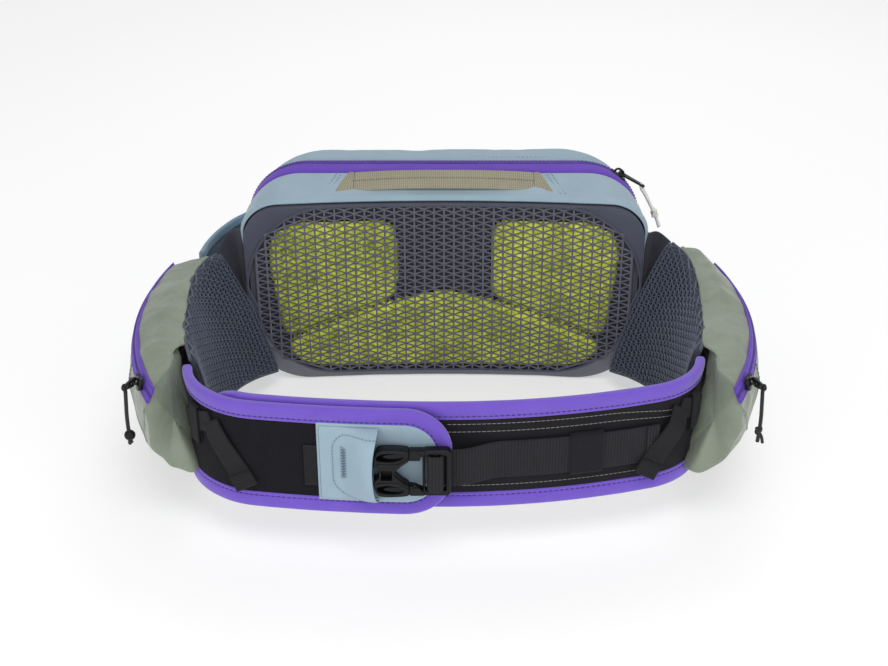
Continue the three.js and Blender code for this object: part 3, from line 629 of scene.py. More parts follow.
def build_top_seams():
    """A double-stitched seam beside each end of the handle, slanting down to the panel."""
    t = np.linspace(0, 1, 12)
    ys = lerp(86.5, 104.5, t)
    high, bow = (np.array([station(y)[k] for y in ys]) for k in (3, 6))
    for side, name in SIDES:
        for k, shift in enumerate((0, 3.4)):
            xs = side * (lerp(82, 73, t) + shift)
            path = xyz(xs, ys - bow * (xs / PANEL_HALF) ** 2, high + 2.5)
            stitches(f"top_seam_{name}_{k}", path, unit(vec(0, -0.42, 0.91)), THREAD_BLUE, length=2.0,
                     pitch=3.0, width=0.5)


def build_handle():
    half, ends, y, z, rise, slope, wide = 72.5, 64.0, 96.5, 143.4, 3.2, math.radians(25), 18
    across = vec(0, math.cos(slope), math.sin(slope))
    out = vec(0, -math.sin(slope), math.cos(slope))

    def strip(xs):
        """The webbing's path and sections. It is crowned a little across its width, like worn webbing."""
        lift = 1.3 + rise * np.clip(1 - np.abs(xs / ends) ** 2.6, 0, 1) ** 1.2
        lift += 0.3 * wobble(xyz(xs, 0, 0), 21, 2)
        crowned = 0.9 * np.clip(1 - (xs / ends) ** 2, 0, 1)
        section = np.tile(flat_section(wide, 1.9, 0.9, 8), (len(xs), 1, 1))
        section[..., 1] -= crowned[:, None] * (section[..., 0] / wide * 2) ** 2
        return xyz(xs, y + out[1] * lift, z + out[2] * lift), section

    def sweep(path, section, shear):
        """Each end is cut on the slant of the seam that holds it, and its near edge spreads a little."""
        P = path[:, None] + section[..., :1] * across + section[..., 1:] * out
        near = np.clip(-section[..., 0] / wide * 2, 0, 1) * np.abs(shear)[:, None]
        P[..., 0] -= shear[:, None] * section[..., 0]
        return P + near[..., None] * (2.6 * out - 5.0 * across)

    xs = np.linspace(-ends - 0.6, ends + 0.6, 60)
    path, section = strip(xs)
    grid("grab_handle_webbing", sweep(path, section, 0 * xs), HANDLE, "handle_arch", closed=True, caps=True,
         replaces=["grab_handle"], slot="handle", soft=True)
    stitches("handle_centre_row", path + out, out, THREAD_TAN, "handle_arch", length=1.3, pitch=2.1,
             width=0.8)
    fade = np.linspace(0, 1, 14)
    for side, name in SIDES:
        path, section = strip(side * np.linspace(ends + 0.2, half, len(fade)))
        section *= (1 + 0.03 * fade)[:, None, None]
        path -= out * (0.2 * fade**2)[:, None]
        piece = grid(f"handle_sewn_end_{name}", sweep(path, section, side * 0.52 * fade), HANDLE, None,
                     closed=True, caps=True, replaces=[f"handle_end_{name}"], slot="handle", flip=side < 0)
        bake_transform(piece)


# ---------- the back panel ----------
WINDOW = dict(half_high=140.2, half_low=134, low=4, high=135.8, r_low=56, r_high=60)


def on_panel(shape, y=PANEL_Y):
    """An XZ outline stood on the bowed back panel."""
    return xyz(shape[:, 0], y + panel_back(shape[:, 0]), shape[:, 1])


def panel_edge(grow, y=PANEL_Y):
    return on_panel(outline(PANEL_HALF + grow, PANEL_HALF + grow, -grow, PANEL_TOP + grow, 45 + grow,
                            25 + grow), y)


def build_rim():
    inner, edge = on_panel(outline(**WINDOW)), panel_edge(-1.1)

    def face_row(outer, t, proud, rumple, size, seed):
        row = lerp(outer, inner, t)
        row[:, 1] = (PANEL_Y + panel_back(row[:, 0]) - proud - 0.9 * math.sin(math.pi * t)
                     - rumple * wobble(row, size, seed))
        return row

    rows = [panel_edge(grow, y) for grow, y in ((-3.4, 86), (-1.6, 84), (-0.7, 80.5), (-0.5, 77), (-0.6, 75))]
    rows += [edge - 0.2 * Y] + [face_row(edge, t, 0, 0.4, 24, 1.5) for t in (0.2, 0.4, 0.6, 0.8)]
    rows += [inner + Y * deep for deep in (-0.6, 0.5, 3.0)]
    grid("back_panel_rim", rows, CHARCOAL, closed=True, flip=True, replaces=["panel_rim"], slot="rim",
         thick=1.1, towards=1.0, soft=True)
    # A lighter strip lies along the face's lower edge and widens into its two lower corners.
    low = np.flatnonzero(edge[:, 2] < 40)
    face = [face_row(panel_edge(-0.2), t, 1.3, 0.5, 15, 2.5)[low[0] : low[-1] + 1]
            for t in (0, 0.12, 0.35, 0.6, 0.85, 1.0)]
    grid("lower_corner_strip", face, RIM, flip=True, slot="rim", thick=0.8, towards=1.0, soft=True)
    # A raised piping follows the window's edge, and a lighter tape the panel's lower edge.
    tube("window_piping", np.vstack([inner, inner[:1]]) - 0.7 * Y, 0.95, CHARCOAL, slot="rim", sides=8)
    lower = outline(PANEL_HALF, PANEL_HALF, 0.7, PANEL_TOP, 45, 25)
    below = np.flatnonzero(lower[:, 1] < 26)
    path = on_panel(lower[below[0] : below[-1] + 1], 80.5)
    out = unit(np.cross(tangents(path), Y))
    out *= np.sign((out * (path - vec(0, 80, 66))).sum(1))[:, None]
    ribbon("lower_edge_tape", path, Y, out, flat_section(11, 1.3, 0.6, 6), RIM, slot="rim")
    stitches("lower_edge_stitch", path + out * 0.8 - 4.2 * Y, out, THREAD_DARK, length=2.1, pitch=3.0,
             width=0.5)


def crown(x):
    """The height of the ridge between the lower pad and the two upper ones."""
    return 70 - 36 * (np.abs(x) / 110) ** 1.3


def corner_inside(x, z, upper):
    """About how far a point is inside the window's upper or lower corner."""
    w = WINDOW
    half, r = (w["half_high"], w["r_high"]) if upper else (w["half_low"], w["r_low"])
    dz = z - (w["high"] - r) if upper else w["low"] + r - z
    return r - math.hypot(max(0, abs(x) - (half - r)), max(0, dz))


def in_window(x, z, margin=0.0):
    w = WINDOW
    half = lerp(w["half_low"], w["half_high"], (z - w["low"]) / (w["high"] - w["low"])) - margin
    low, high = w["low"] + margin, w["high"] - margin
    if abs(x) > half or z < low or z > high:
        return False
    for r, dz in ((w["r_low"], low + w["r_low"] - z), (w["r_high"], z - high + w["r_high"])):
        dx = abs(x) - (half - r)
        if dx > 0 and dz > 0 and math.hypot(dx, dz) > r:
            return False
    return True


def hump(distance, width, power=2):
    return math.exp(-((distance / width) ** power))


def mesh_relief(x, z):
    """How far the mesh stands towards the wearer: it swells over each pad and dips between them."""
    ridge = z - crown(x)
    lower = 2.6 * hump(ridge + 4, 9) + 1.2 * smoothstep(-ridge, 0, 14) * smoothstep(z, 8, 26)
    upper = 1.6 * hump(abs(x) - 79, 40, 4) * smoothstep(ridge, 3, 15) * smoothstep(-z, -131, -115)
    valley = -1.8 * hump(ridge - 2.5, 3.5) * smoothstep(abs(x), 20, 45)
    return lower + upper + valley


def panel_point(x, z, deep=0.0):
    return vec(x, PANEL_Y + panel_back(x) - mesh_relief(x, z) + deep, z)


def rounded_least(distances, k):
    """The least of some distances, rounded over where two of them are close."""
    return -k * math.log(sum(math.exp(-d / k) for d in distances))


def upper_pad_distance(x, z):
    """How far a point is inside an upper pad: from its inner, outer, upper and sloping lower edge."""
    a = abs(x)
    return rounded_least([a - 33, 129 - a - 0.13 * (125 - z), 125.5 - z, (z - crown(a) + 0.5) * 0.93,
                          corner_inside(a, z, True) - 2], 5.0)


def lower_pad_distance(x, z):
    a = abs(x)
    return rounded_least([(crown(a) + 0.5 - z) * 0.93, z - 4.5, 118 - a - 0.1 * (60 - z),
                          corner_inside(a, z, False) - 1.5], 4.0)


def pad_cover(x, z):
    return smoothstep(max(upper_pad_distance(x, z), lower_pad_distance(x, z)) + 1, 0, 3)


def build_back_mesh():
    half = 140
    lattice("back_panel_mesh", lambda u, v: panel_point(u - half, v, 0.2), 2 * half, 140, 7.0, 5.3,
            lambda u, v: in_window(u - half, v, -1.5), STRAND, 2.5, replaces=["back_mesh"], slot="mesh")
    # Dark lining behind the pads.
    cut_sheet("panel_lining", np.linspace(-136, 136, 60), np.linspace(4, 136, 40),
              lambda x, z: in_window(x, z, 1), lambda x, z: vec(x, PANEL_Y + panel_back(x) + 7.4, z), UNDER,
              slot="board", thick=1.0, towards=1.0)
    # A knitted ground sits close behind the mesh everywhere that there is no lime pad.
    cut_sheet("panel_ground", np.linspace(-142, 142, 162), np.linspace(2, 137, 86),
              lambda x, z: in_window(x, z, -2.5) and pad_cover(x, z) < 0.98,
              lambda x, z: panel_point(x, z, 2.0 + 3.4 * pad_cover(x, z)), GROUND, slot="mesh")


def build_pads():
    def pad(name, x0, x1, z0, z1, distance):
        def place(x, z):
            flat = min(1, max(0, distance(x, z)) / 4)
            fall = 2.6 * (1 - math.sqrt(1 - (1 - flat) ** 2))
            return panel_point(x, z, 1.7 + fall + 0.25 * noise.noise(Vector((x / 9, z / 9, 3))))

        step = 1.7
        made = cut_sheet(f"foam_pad_{name}", np.arange(x0, x1, step), np.arange(z0, z1, step),
                         lambda x, z: distance(x, z) > -0.2, place, LIME_WITH_HIGHLIGHTS, replaces=[f"pad_{name}"],
                         slot="foam", thick=1.6, towards=1.0)

    pad("upper_left", -130, -31, 30, 128, upper_pad_distance)
    pad("upper_right", 31, 130, 30, 128, upper_pad_distance)
    pad("lower", -118, 118.1, 3, 72, lower_pad_distance)


# ---------- outer pocket and inside ----------
def build_outer_pocket():
    y, half, low, high, r = OUTER_FACE_Y, 86.0, 28.0, 94.0, 16.0

    def inset(d):
        return outline(half - d, half - d, low + d, high - d, max(r - d, 0.02), max(r - d, 0.02))

    rows = []
    for d, proud in ((0, 0.2), (0, 2.2), (1.2, 3.4), (5, 4.3), (12, 4.9), (20, 5.1), (27, 5.2)):
        x, z = inset(d).T
        lift = 0.5 * wobble(xyz(x, d, z), 19, 7) * (proud > 3)
        rows.append(xyz(x, y + proud + lift, z))
    # The flat middle closes on a line between the last ring's upper and lower edges.
    last = rows[-1]
    line = xyz(0.6 * last[:, 0], last[:, 1].mean(), (low + high) / 2)
    rows += [lerp(last, line, t) for t in (0.3, 0.6, 0.85, 1.0)]
    grid("outer_pocket_panel", rows, FAR_SHELL, closed=True, replaces=["outer_pocket"], slot="shell",
         gap=0.05, thick=1.0, soft=True)
    x, z = inset(3).T
    path = xyz(x, y + 3.9, z)
    stitches("outer_pocket_stitch", np.vstack([path, path[:1]]), Y, THREAD_BLUE, width=0.5)
    # Its zip lies above it.
    xs, zip_z = np.linspace(-88, 88, 60), 102.6
    ribbon("outer_zip_band", xyz(xs, y + 1.5, zip_z - 0.4), Z, Y, flat_section(15.4, 1.6, 0.7, 6), ZIP,
           replaces=["outer_zip_tape"], slot="zip")
    ribbon("outer_zip_ridge", xyz(xs, y + 2.5, zip_z), Z, Y, flat_section(2.8, 1.1, 0.5), COIL,
           replaces=["outer_zip_coil"], slot="zip")
    points = xyz(np.arange(-87, 87, 1.25), y + 2.65, zip_z)
    normals, along = np.broadcast_to(Y, points.shape), np.broadcast_to(X, points.shape)
    teeth("outer_zip_teeth", points, normals, along, Z, ((0.1, 0.5), (0.6, 1), (1.2, 1), (1.6, 0.4)))
    for k, z in enumerate((96.2, 108.4)):
        stitches(f"outer_zip_stitch_{k}", xyz(xs, y + 2.4, z), Y, THREAD_VIOLET, **ZIP_STITCH)


def build_inside():
    P = np.array([[vec(x, 92.3, z) for z in np.linspace(8, 104, 24)] for x in np.linspace(-122, 122, 50)])
    P[..., 1] += 0.3 * wobble(P, 30, 8)
    grid("inner_sleeve_cloth", P, UNDER, replaces=["inner_sleeve"], slot="board", thick=1.3, towards=0)
    z = np.linspace(60, 128, 24)
    ribbon("key_leash_tape", xyz(76, 96.2 + 0.3 * np.sin(z / 9), z), X, Y, flat_section(12, 1.4), TAPE,
           replaces=["key_leash"], slot="webbing")


# ---------- wings ----------
# Pad edges from the bag to the belt on the right side; the left side mirrors x.
PAD_TOP = [(158, 68, 100), (166, 45, 102), (168, 12, 102), (165, -22, 102), (160, -56, 102), (151, -88, 101)]
PAD_LOW = [(121, 57.5, 12), (134, 32, 20), (143, 0, 29), (148, -34, 34), (149, -64, 36), (146, -88, 37)]
PAD_THICK = 5.0
RIGHT_LIFT = 9.0
ZIP_ARC = dict(x=-50, y=-8, r=249, rear=12, front=-24.5)
ZIP_Z = 95


def wing_edges(side):
    """The pad's upper and lower edge. The right wing's upper edge starts a little higher."""
    def curve(points, lift):
        return spline([(side * x, y, z + lift * max(0, 1 - i / 3)) for i, (x, y, z) in enumerate(points)], 81)

    return curve(PAD_TOP, RIGHT_LIFT if side > 0 else 0), curve(PAD_LOW, 0)


def along_curve(curve, t):
    k = np.clip(t, 0, 1) * (len(curve) - 1)
    i = min(int(k), len(curve) - 2)
    return lerp(curve[i], curve[i + 1], k - i)


def pad_front(side, top, low, t, v):
    """A point on the wearer's face of a wing pad: t runs from bag to belt, v from lower to upper edge."""
    puff = 1 - (2 * v - 1) ** 2
    lump = 0.9 * noise.noise(Vector((t * 4, v * 2.4, side * 3)))
    return (lerp(along_curve(low, t), along_curve(top, t), v)
            - side * X * puff * (3 + 1.1 * math.sin(math.pi * min(1, t * 1.1)) + lump))


def build_wing(side, name):
    top, low = wing_edges(side)
    end = 0.93 if side > 0 else 1.0
    out = side * X
    vs = np.linspace(0, 1, 18)
    rows = []
    for t in np.linspace(0, end, 40):
        thick = PAD_THICK * (1 - 0.3 * smoothstep(t, 0.9, 1))
        front = [pad_front(side, top, low, t, v) + out * 1.4 * (1 - (2 * v - 1) ** 8) for v in vs]
        back = [lerp(along_curve(low, t), along_curve(top, t), v) + out * (thick - 3 * (1 - (2 * v - 1) ** 2))
                for v in vs[::-1]]
        rows.append(front + back)
    pad = grid(f"wing_pad_body_{name}", rows, UNDER, closed=True, caps=True, flip=side > 0,
               replaces=[f"wing_pad_{name}"], slot="mesh")

    length, middle = 168.0, 50

    def height(t):
        return np.linalg.norm(along_curve(top, t) - along_curve(low, t))

    def surface(u, v):
        t = min(end, max(0.0, u / length))
        v = (v - middle) / height(t)
        over = (v - 0.5) * height(t)
        if over > 0:
            # The mesh folds over the pad's upper edge to the pocket.
            rise = 0.5 + 0.25 * math.sin(math.pi * min(1, over / 7))
            return along_curve(top, t) + out * (over + 0.2) + Z * rise
        return pad_front(side, top, low, t, max(0.0, 0.5 + v)) + out * 0.1

    def keep(u, v):
        t = u / length
        return -0.01 <= t <= end + 0.005 and -height(t) / 2 - 1.5 < v - middle < height(t) / 2 + 3.6

    lattice(f"wing_mesh_{name}", surface, length, 110, 6.1, 4.7, keep, WING_STRAND, 1.7, slot="mesh")
    # Bound edges of the pad.
    for edge, label, away, up in ((top, "top", 3.6, 0.2), (low, "low", 0.8, -0.2)):
        run = np.array([along_curve(edge, t) for t in np.linspace(0, end, 50)]) + out * away + Z * up
        tube(f"wing_edge_{label}_{name}", run, 1.1, CHARCOAL, slot="rim", sides=8)

    # The fold between the panel's side and the wing, of dark-grey cloth whose colour is darkened further as
    # painted shade.
    fold_top, rise = (115, 1) if side > 0 else (121, 5)
    rows = []
    for w in np.linspace(0, 1, 26):
        z = lerp(17, fold_top, w)
        corner = 45 - math.sqrt(45**2 - max(0.0, 45 - z) ** 2)
        a = vec(side * (141.5 - corner - 2.5 * smoothstep(w, 0.9, 1)), PANEL_Y + panel_back(141) + 3.5, z)
        b = lerp(low[0], top[0], w) + out * 3.2
        b[2] = max(b[2], lerp(low[0][2], top[0][2] + rise, w))
        row = spline([a, (a + b) / 2 + vec(side * 1.5, 1 + 10 * w, 1.5), b], 12)
        row[:, 1] += 0.8 * wobble(row, 14, side * 2.0)
        rows.append(row)
    grid(f"wing_fold_{name}", rows, FOLD_CLOTH_AND_SHADE, flip=side < 0, slot="rim", thick=1.2, towards=0, soft=True)


def zip_away(side, degrees):
    """The direction out from the pocket zip's arc at an angle."""
    a = math.radians(degrees)
    return vec(side * math.cos(a), math.sin(a), 0)


def zip_point(side, degrees, r, z):
    return vec(side * ZIP_ARC["x"], ZIP_ARC["y"], z) + r * zip_away(side, degrees)


def pocket_row(side, t, top, low):
    """One section of the pocket, from the zip's lower edge by outside, bottom and inside to its upper."""
    u = lerp(0.1, 0.99, t)
    gap = PAD_THICK + lerp(1.4, 9.4, smoothstep(t, 0.5, 0.75))
    out = side * X
    high, deep = along_curve(top, u) + gap * out, along_curve(low, u) + gap * out
    full = math.sin(math.pi * lerp(0.16, 0.9, t)) ** 0.7
    angle = lerp(ZIP_ARC["rear"] + 2.2, ZIP_ARC["front"] - 1.2, t)

    def arc(r, z):
        return zip_point(side, angle, r, z)

    # Its top starts on the pad's upper edge, except where the belt's end runs between them.
    start = along_curve(top, u) + out * lerp(3.4, gap, smoothstep(t, 0.86, 0.98)) + 0.9 * Z
    over = lerp(high, arc(240, 104), 0.55)
    over[2] = high[2] + 2.2 * full
    forward = vec(-side * 13, -9, 0) * smoothstep(t, 0.72, 1.0)
    return np.array([
        arc(251.3, 90.8),
        arc(250 + 5 * full, 76),
        arc(248 + 5 * full, 58),
        arc(240 + 4 * full, 42),
        arc(lerp(226, 233, t**3), 36 + 4 * (1 - full)) + forward * 0.6,
        deep + 2 * Z + forward,
        lerp(deep, high, 0.5) + forward * 0.55,
        lerp(high, start, 0.5) - 3.0 * Z,
        start,
        over,
        arc(247.2, 99.2),
    ])


def closed_end(ring, away, deep):
    """Rows that close the pocket's end: its two edges meet, then it rounds off to its middle."""
    seam, near = (ring[0] + ring[-1]) / 2, 6
    rows = []
    for f in (0.012, 0.03, 0.06, 0.14, 0.26, 0.45, 0.66, 0.85, 0.96, 1.0):
        row = ring.copy()
        for k in range(near):
            for end in (k, -1 - k):
                row[end] = lerp(row[end], seam, (1 - k / near) * smoothstep(f, 0, 0.05))
        rows.append(lerp(row, ring.mean(0), f) + away * deep * math.sqrt(1 - (1 - f) ** 2))
    return rows


def pocket_folds(P, ts, side):
    """Creases: long ones down from the zip, short ones gathered at the front end, and sharp and fine ones."""
    x, y, z = np.moveaxis(P, -1, 0)
    across = np.linspace(0, 1, P.shape[1])
    crossing = xyz(y * 0.8 - z * 0.5, z * 0.5 + y * 0.35, x * 0.6)
    front = smoothstep(ts, 0.45, 1)[:, None]
    clear_of_zip = smoothstep(across, 0.62, 0.8) + smoothstep(across, 0.38, 0.2)

    def ridges(points, size, seed, narrow):
        """Ridges stand where a slow noise crosses its middle."""
        return np.clip(1 - narrow * np.abs(wobble(points, size, seed + side)), 0, 1) ** 2

    folds = 2.1 * wobble(xyz(y + z * 0.55, z * 0.35, x * 0.5), 17, 2 + side) - 0.7
    folds += (0.8 + 1.1 * front) * wobble(xyz(y * 0.5 - z * 0.8, z * 0.6 + y * 0.5, x), 9, 12 + side)
    folds += (2.2 * ridges(crossing, 27, 21, 2.6)
              + 1.3 * clear_of_zip * ridges(crossing * (1, 1.6, 1), 14, 33, 2.8))
    return folds * np.sin(math.pi * lerp(0.02, 0.98, across)) ** 0.5


def build_pocket(side, name):
    top, low = wing_edges(side)
    ts = np.linspace(0, 1, 56)
    P = np.array([spline(pocket_row(side, t, top, low), 64) for t in ts])
    normal = unit(np.cross(np.gradient(P, axis=0), np.gradient(P, axis=1))) * side
    normal *= np.sign((normal * (P - P.mean(axis=1, keepdims=True))).sum(-1, keepdims=True) + 1e-6)
    P = P + normal * pocket_folds(P, ts, side)[..., None]
    rear, front = closed_end(P[0], Y, 2.0), closed_end(P[-1], vec(-side * 0.25, -1, 0), 5.0)
    grid(f"pocket_cloth_{name}", rear[::-1] + list(P) + front, OLIVE, flip=side < 0,
         replaces=[f"pocket_{name}"], slot="olive", gap=0.05, thick=0.9, towards=0, soft=True)
    # Zip tape over the pocket's mouth, leaning in at its top, with its coil and stitching.
    angles = np.linspace(ZIP_ARC["rear"] + 3.0, ZIP_ARC["front"] - 2.3, 60)
    path = np.array([zip_point(side, a, 249.9, ZIP_Z) for a in angles])
    away = np.array([zip_away(side, a) for a in angles])
    lean, square = unit(Z - 0.48 * away), unit(away + 0.48 * Z)
    ribbon(f"pocket_zip_band_{name}", path, lean, square, flat_section(11.6, 1.6, 0.7, 6), ZIP,
           replaces=[f"pocket_zip_tape_{name}"], slot="zip", soft=True)
    tube(f"pocket_zip_ridge_{name}", path + square * 0.9, 0.95, COIL, slot="zip", sides=8)
    for k, shift in enumerate((-4.4, 4.4)):
        stitches(f"pocket_zip_stitch_{name}_{k}", path + lean * shift + square * 0.85, square, THREAD_VIOLET,
                 **ZIP_STITCH)

    def seam(label, start, end):
        """A seam across the pocket's front between two places given as shares of its rows and columns."""
        rows, columns = len(P) - 1, P.shape[1] - 1
        line, out = [], []
        for f in np.linspace(0, 1, 40):
            i, j = lerp(start[0], end[0], f) * rows, lerp(start[1], end[1], f) * columns
            a, b = int(i), int(j)
            c, d = min(a + 1, rows), min(b + 1, columns)
            line.append(lerp(lerp(P[a, b], P[c, b], i - a), lerp(P[a, d], P[c, d], i - a), j - b))
            out.append(normal[a, b])
        line, out = np.array(line), np.array(out)
        tube(f"pocket_seam_{label}_{name}", line + out * 0.25, 0.75, OLIVE, slot="olive", sides=8)
        stitches(f"pocket_seam_stitch_{label}_{name}", line + out * 0.55 + 1.6 * Z, out, THREAD_OLIVE,
                 length=1.8, pitch=2.8, width=0.45)

    seam("a", (0.99, 0.06), (0.66, 0.5))
    seam("b", (0.99, 0.36), (0.70, 0.02))


def build_side_pocket(side, name):
    """The stretch pocket that joins a wing to the bag. The right one sits lower."""
    drop = 13 if side > 0 else 0
    sweep = [(143.4, 110, 114), (153, 107, 110), (164, 96, 105), (170, 83, 102), (172, 68, 101)]
    plan = spline([(side * x, y, z - drop) for x, y, z in sweep], 34)
    highs = plan[:, 2].copy()
    plan[:, 2] = 0
    rows = []
    for p, along, high, low in zip(plan, tangents(plan), highs, np.linspace(26, 30, len(plan))):
        away = vec(side * abs(along[1]), abs(along[0]), 0)
        z = np.linspace(low, high, 24)
        puff = 1.6 * np.clip(np.sin(math.pi * (z - low) / (high - low)), 0, 1) ** 0.8
        row = p + Z * z[:, None] + away * puff[:, None]
        rows.append(row + away * (0.5 * wobble(row * (1, 1, 0.5), 10, 4 + side))[:, None])
    grid(f"side_pocket_knit_{name}", rows, STRETCH, flip=side < 0, replaces=[f"side_gusset_{name}"],
         slot="stretch", thick=1.8, towards=0, soft=True)
    hem = np.array(rows)[:, -1] - 1.8 * Z
    away = unit(np.cross(tangents(hem), Z) * side)
    ribbon(f"side_pocket_hem_{name}", hem, Z, away, flat_section(7, 3.4, 1.5, 4), HEM, slot="stretch")
    stitches(f"side_pocket_stitch_{name}", hem + away * 1.8 - 2.4 * Z, away, THREAD_BLUE, width=0.45)


# ---------- belt ----------
BELT_FRONT_Y = -139.0
BELT = {-1: dict(front=692, corner=45, turn=9.2, straight=2),
        1: dict(front=410, corner=45, turn=18, straight=2)}
CORNER_END = 80
LOW, TALL, BINDING, OUTER, CORE = 30.0, 102.0, 11.0, 8.0, 3.2
MIDDLE = (LOW + TALL) / 2
FLAP_FACE = OUTER + CORE / 2
PATCH_ROOT, PATCH_TIP, PATCH_FACE, POCKET_ROOT, POCKET_MOUTH = -73, -4.0, FLAP_FACE + 0.75, -71.5, -37.0
STRAP_Z, STRAP_WIDTH, STRAP_LIFT = 65, 25, 4.1


def belt_at(s, offset=0.0):
    """The point and outward normal s mm along the belt from its front's middle: an arc, then a corner."""
    side = -1 if s < 0 else 1
    b = BELT[side]
    left, length = abs(s), b["front"] * math.radians(b["turn"])
    heading = min(left, length) / b["front"]
    x, y = b["front"] * math.sin(heading), BELT_FRONT_Y + b["front"] * (1 - math.cos(heading))
    left -= min(left, length)
    if left > 0:
        swept = min(left / b["corner"], math.radians(CORNER_END - b["turn"]))
        x += b["corner"] * (math.sin(heading + swept) - math.sin(heading))
        y += b["corner"] * (math.cos(heading) - math.cos(heading + swept))
        heading += swept
        left -= swept * b["corner"]
    x += left * math.cos(heading)
    y += left * math.sin(heading)
    out = vec(side * math.sin(heading), -math.cos(heading), 0)
    return vec(side * x, y, 0) + out * offset, out


def belt_end(side):
    b = BELT[side]
    arcs = b["front"] * math.radians(b["turn"]) + b["corner"] * math.radians(CORNER_END - b["turn"])
    return side * (arcs + b["straight"])


def on_belt(ss, zs, offsets):
    """Points and outward normals on the belt. Each argument is one number or one for each point."""
    ss, zs, offsets = np.broadcast_arrays(ss, zs, offsets)
    points, outs = np.swapaxes([belt_at(s, offset) for s, offset in zip(ss, offsets)], 0, 1)
    points[:, 2] = zs
    return points, outs


def belt_strip(name, from_s, to_s, z, half, offset, thick, material, n=60, edge=None, points=6, **more):
    """A strip lying along the belt round height z. half and offset are numbers or functions of s."""
    ss = np.linspace(min(from_s, to_s), max(from_s, to_s), n)
    halves = np.broadcast_to(half(ss) if callable(half) else half, n)
    path, out = on_belt(ss, z, offset(ss) if callable(offset) else offset)
    sections = np.array([flat_section(2 * h, thick, edge, points) for h in halves])
    return ribbon(name, path, Z, out, sections, material, **more)


def rounded_half(s, tip, r, full):
    """The half height of a strip whose free end, at tip, is rounded by r."""
    return full - r + np.sqrt(np.maximum(0, r * r - np.maximum(0, r - np.abs(tip - s)) ** 2))


def binding_section():
    """The lycra binding: full at its folded edge, nipped in at the stitch line, a small lip inside it."""
    face = spline([(5.5, 0.9), (5.2, 1.9), (4.2, 2.7), (2.6, 3.0), (0.6, 2.95), (-1.2, 2.6), (-2.3, 2.3),
                   (-3.0, 1.75), (-3.7, 2.25), (-4.9, 2.1), (-5.5, 1.2)], 22)
    return np.vstack([face, (face * (1, -1))[::-1]])


def flap_edge(root, tip, offset):
    """The binding's centre line: along the top edge, round the free end and back along the bottom one."""
    toward, reach, r = np.sign(tip - root), (TALL - LOW - BINDING) / 2, 22.0
    corner = tip - toward * (r + BINDING / 2)
    run = [(s, MIDDLE + reach, 0, 1) for s in np.linspace(root, corner, 90)]
    for centre, start in ((MIDDLE + reach - r, 90), (MIDDLE - reach + r, 0)):
        for a in np.radians(start - 7.5 * np.arange(1, 13)):
            sideways, up = toward * math.cos(a), math.sin(a)
            run.append((corner + r * sideways, centre + r * up, sideways, up))
    run += [(s, MIDDLE - reach, 0, -1) for s in np.linspace(corner, root, 90)[1:]]
    s, z, sideways, up = np.array(run).T
    path, outs = on_belt(s, z, offset)
    across = xyz(-outs[:, 1], outs[:, 0], 0) * sideways[:, None] + Z * up[:, None]
    return path, unit(across), outs


def build_flap(name, root, tip, offset, material):
    """A flap's elastic core and its binding with two rows of stitches. name is outer or inner."""
    toward, inset = np.sign(tip - root), BINDING * 0.6
    end = tip - toward * inset
    belt_strip(f"{name}_flap_core", root, end, MIDDLE,
               lambda s: rounded_half(s, end, 19, (TALL - LOW) / 2 - inset), offset, CORE, material, n=110,
               edge=1.2, points=14, replaces=[f"flap_{name}"], slot="elastic")
    path, across, out = flap_edge(root, tip, offset)
    section = np.tile(binding_section(), (len(path), 1, 1))
    section[..., 1] *= 1 + 0.09 * wobble(path, 16, 3 + offset)[:, None]
    ribbon(f"{name}_flap_binding", path, across, out, section, VIOLET, flip=toward > 0,
           replaces=[f"flap_{name}_binding"], slot="violet", soft=True)
    for face, label in ((1, "outer"), (-1, "inner")):
        stitches(f"{name}_flap_binding_stitch_{label}", path - across * 3.0 + out * face * 2.05, out * face,
                 THREAD_VIOLET, length=2.0, pitch=3.3, width=0.7)


def build_belt():
    build_flap("outer", belt_end(-1), 5.0, OUTER, ELASTIC)
    build_flap("inner", belt_end(1), -148.0, 0.0, FLAP_CLOTH)
    # Three rows of pale thread on the right flap; the upper two draw together where it meets the wing.
    for k, (z, drop, end) in enumerate(((88.2, 8.0, 150), (83.0, 6.0, 150), (45.6, 0.0, 120))):
        ss = np.linspace(3, end, 90)
        path, out = on_belt(ss, z - drop * smoothstep(ss, 95, 175), CORE / 2 + 0.15)
        stitches(f"flap_thread_{k}", path, out, THREAD_LIGHT, length=2.6, pitch=2.9, width=0.5)
    build_patch()
    belt_strip("hook_pad", -100, -12, MIDDLE, 20, OUTER - CORE / 2 - 0.9, 1.0, TAPE, replaces=["hook_patch"],
               slot="webbing")
    belt_strip("blank_belt_tag", -81, -73.4, 63, 14, FLAP_FACE + 0.75, 0.9, TAG, n=10, edge=0.4,
               replaces=["belt_label"], slot="webbing")
    for k, z in enumerate((49.9, 76.1)):
        path, out = on_belt(np.linspace(-80.4, -74, 8), z, FLAP_FACE + 1.2)
        stitches(f"belt_tag_stitch_{k}", path, out, THREAD_DARK, length=1.4, pitch=2, width=0.4)


def pocket_lift(s, z):
    """How far the patch's pocket stands out: it is open towards the buckle."""
    share = (s - POCKET_ROOT) / (POCKET_MOUTH - POCKET_ROOT)
    return 0.9 + 12.2 * (1 - np.abs((z - MIDDLE) / 25) ** 6) * smoothstep(share, 0.3, 0.9)


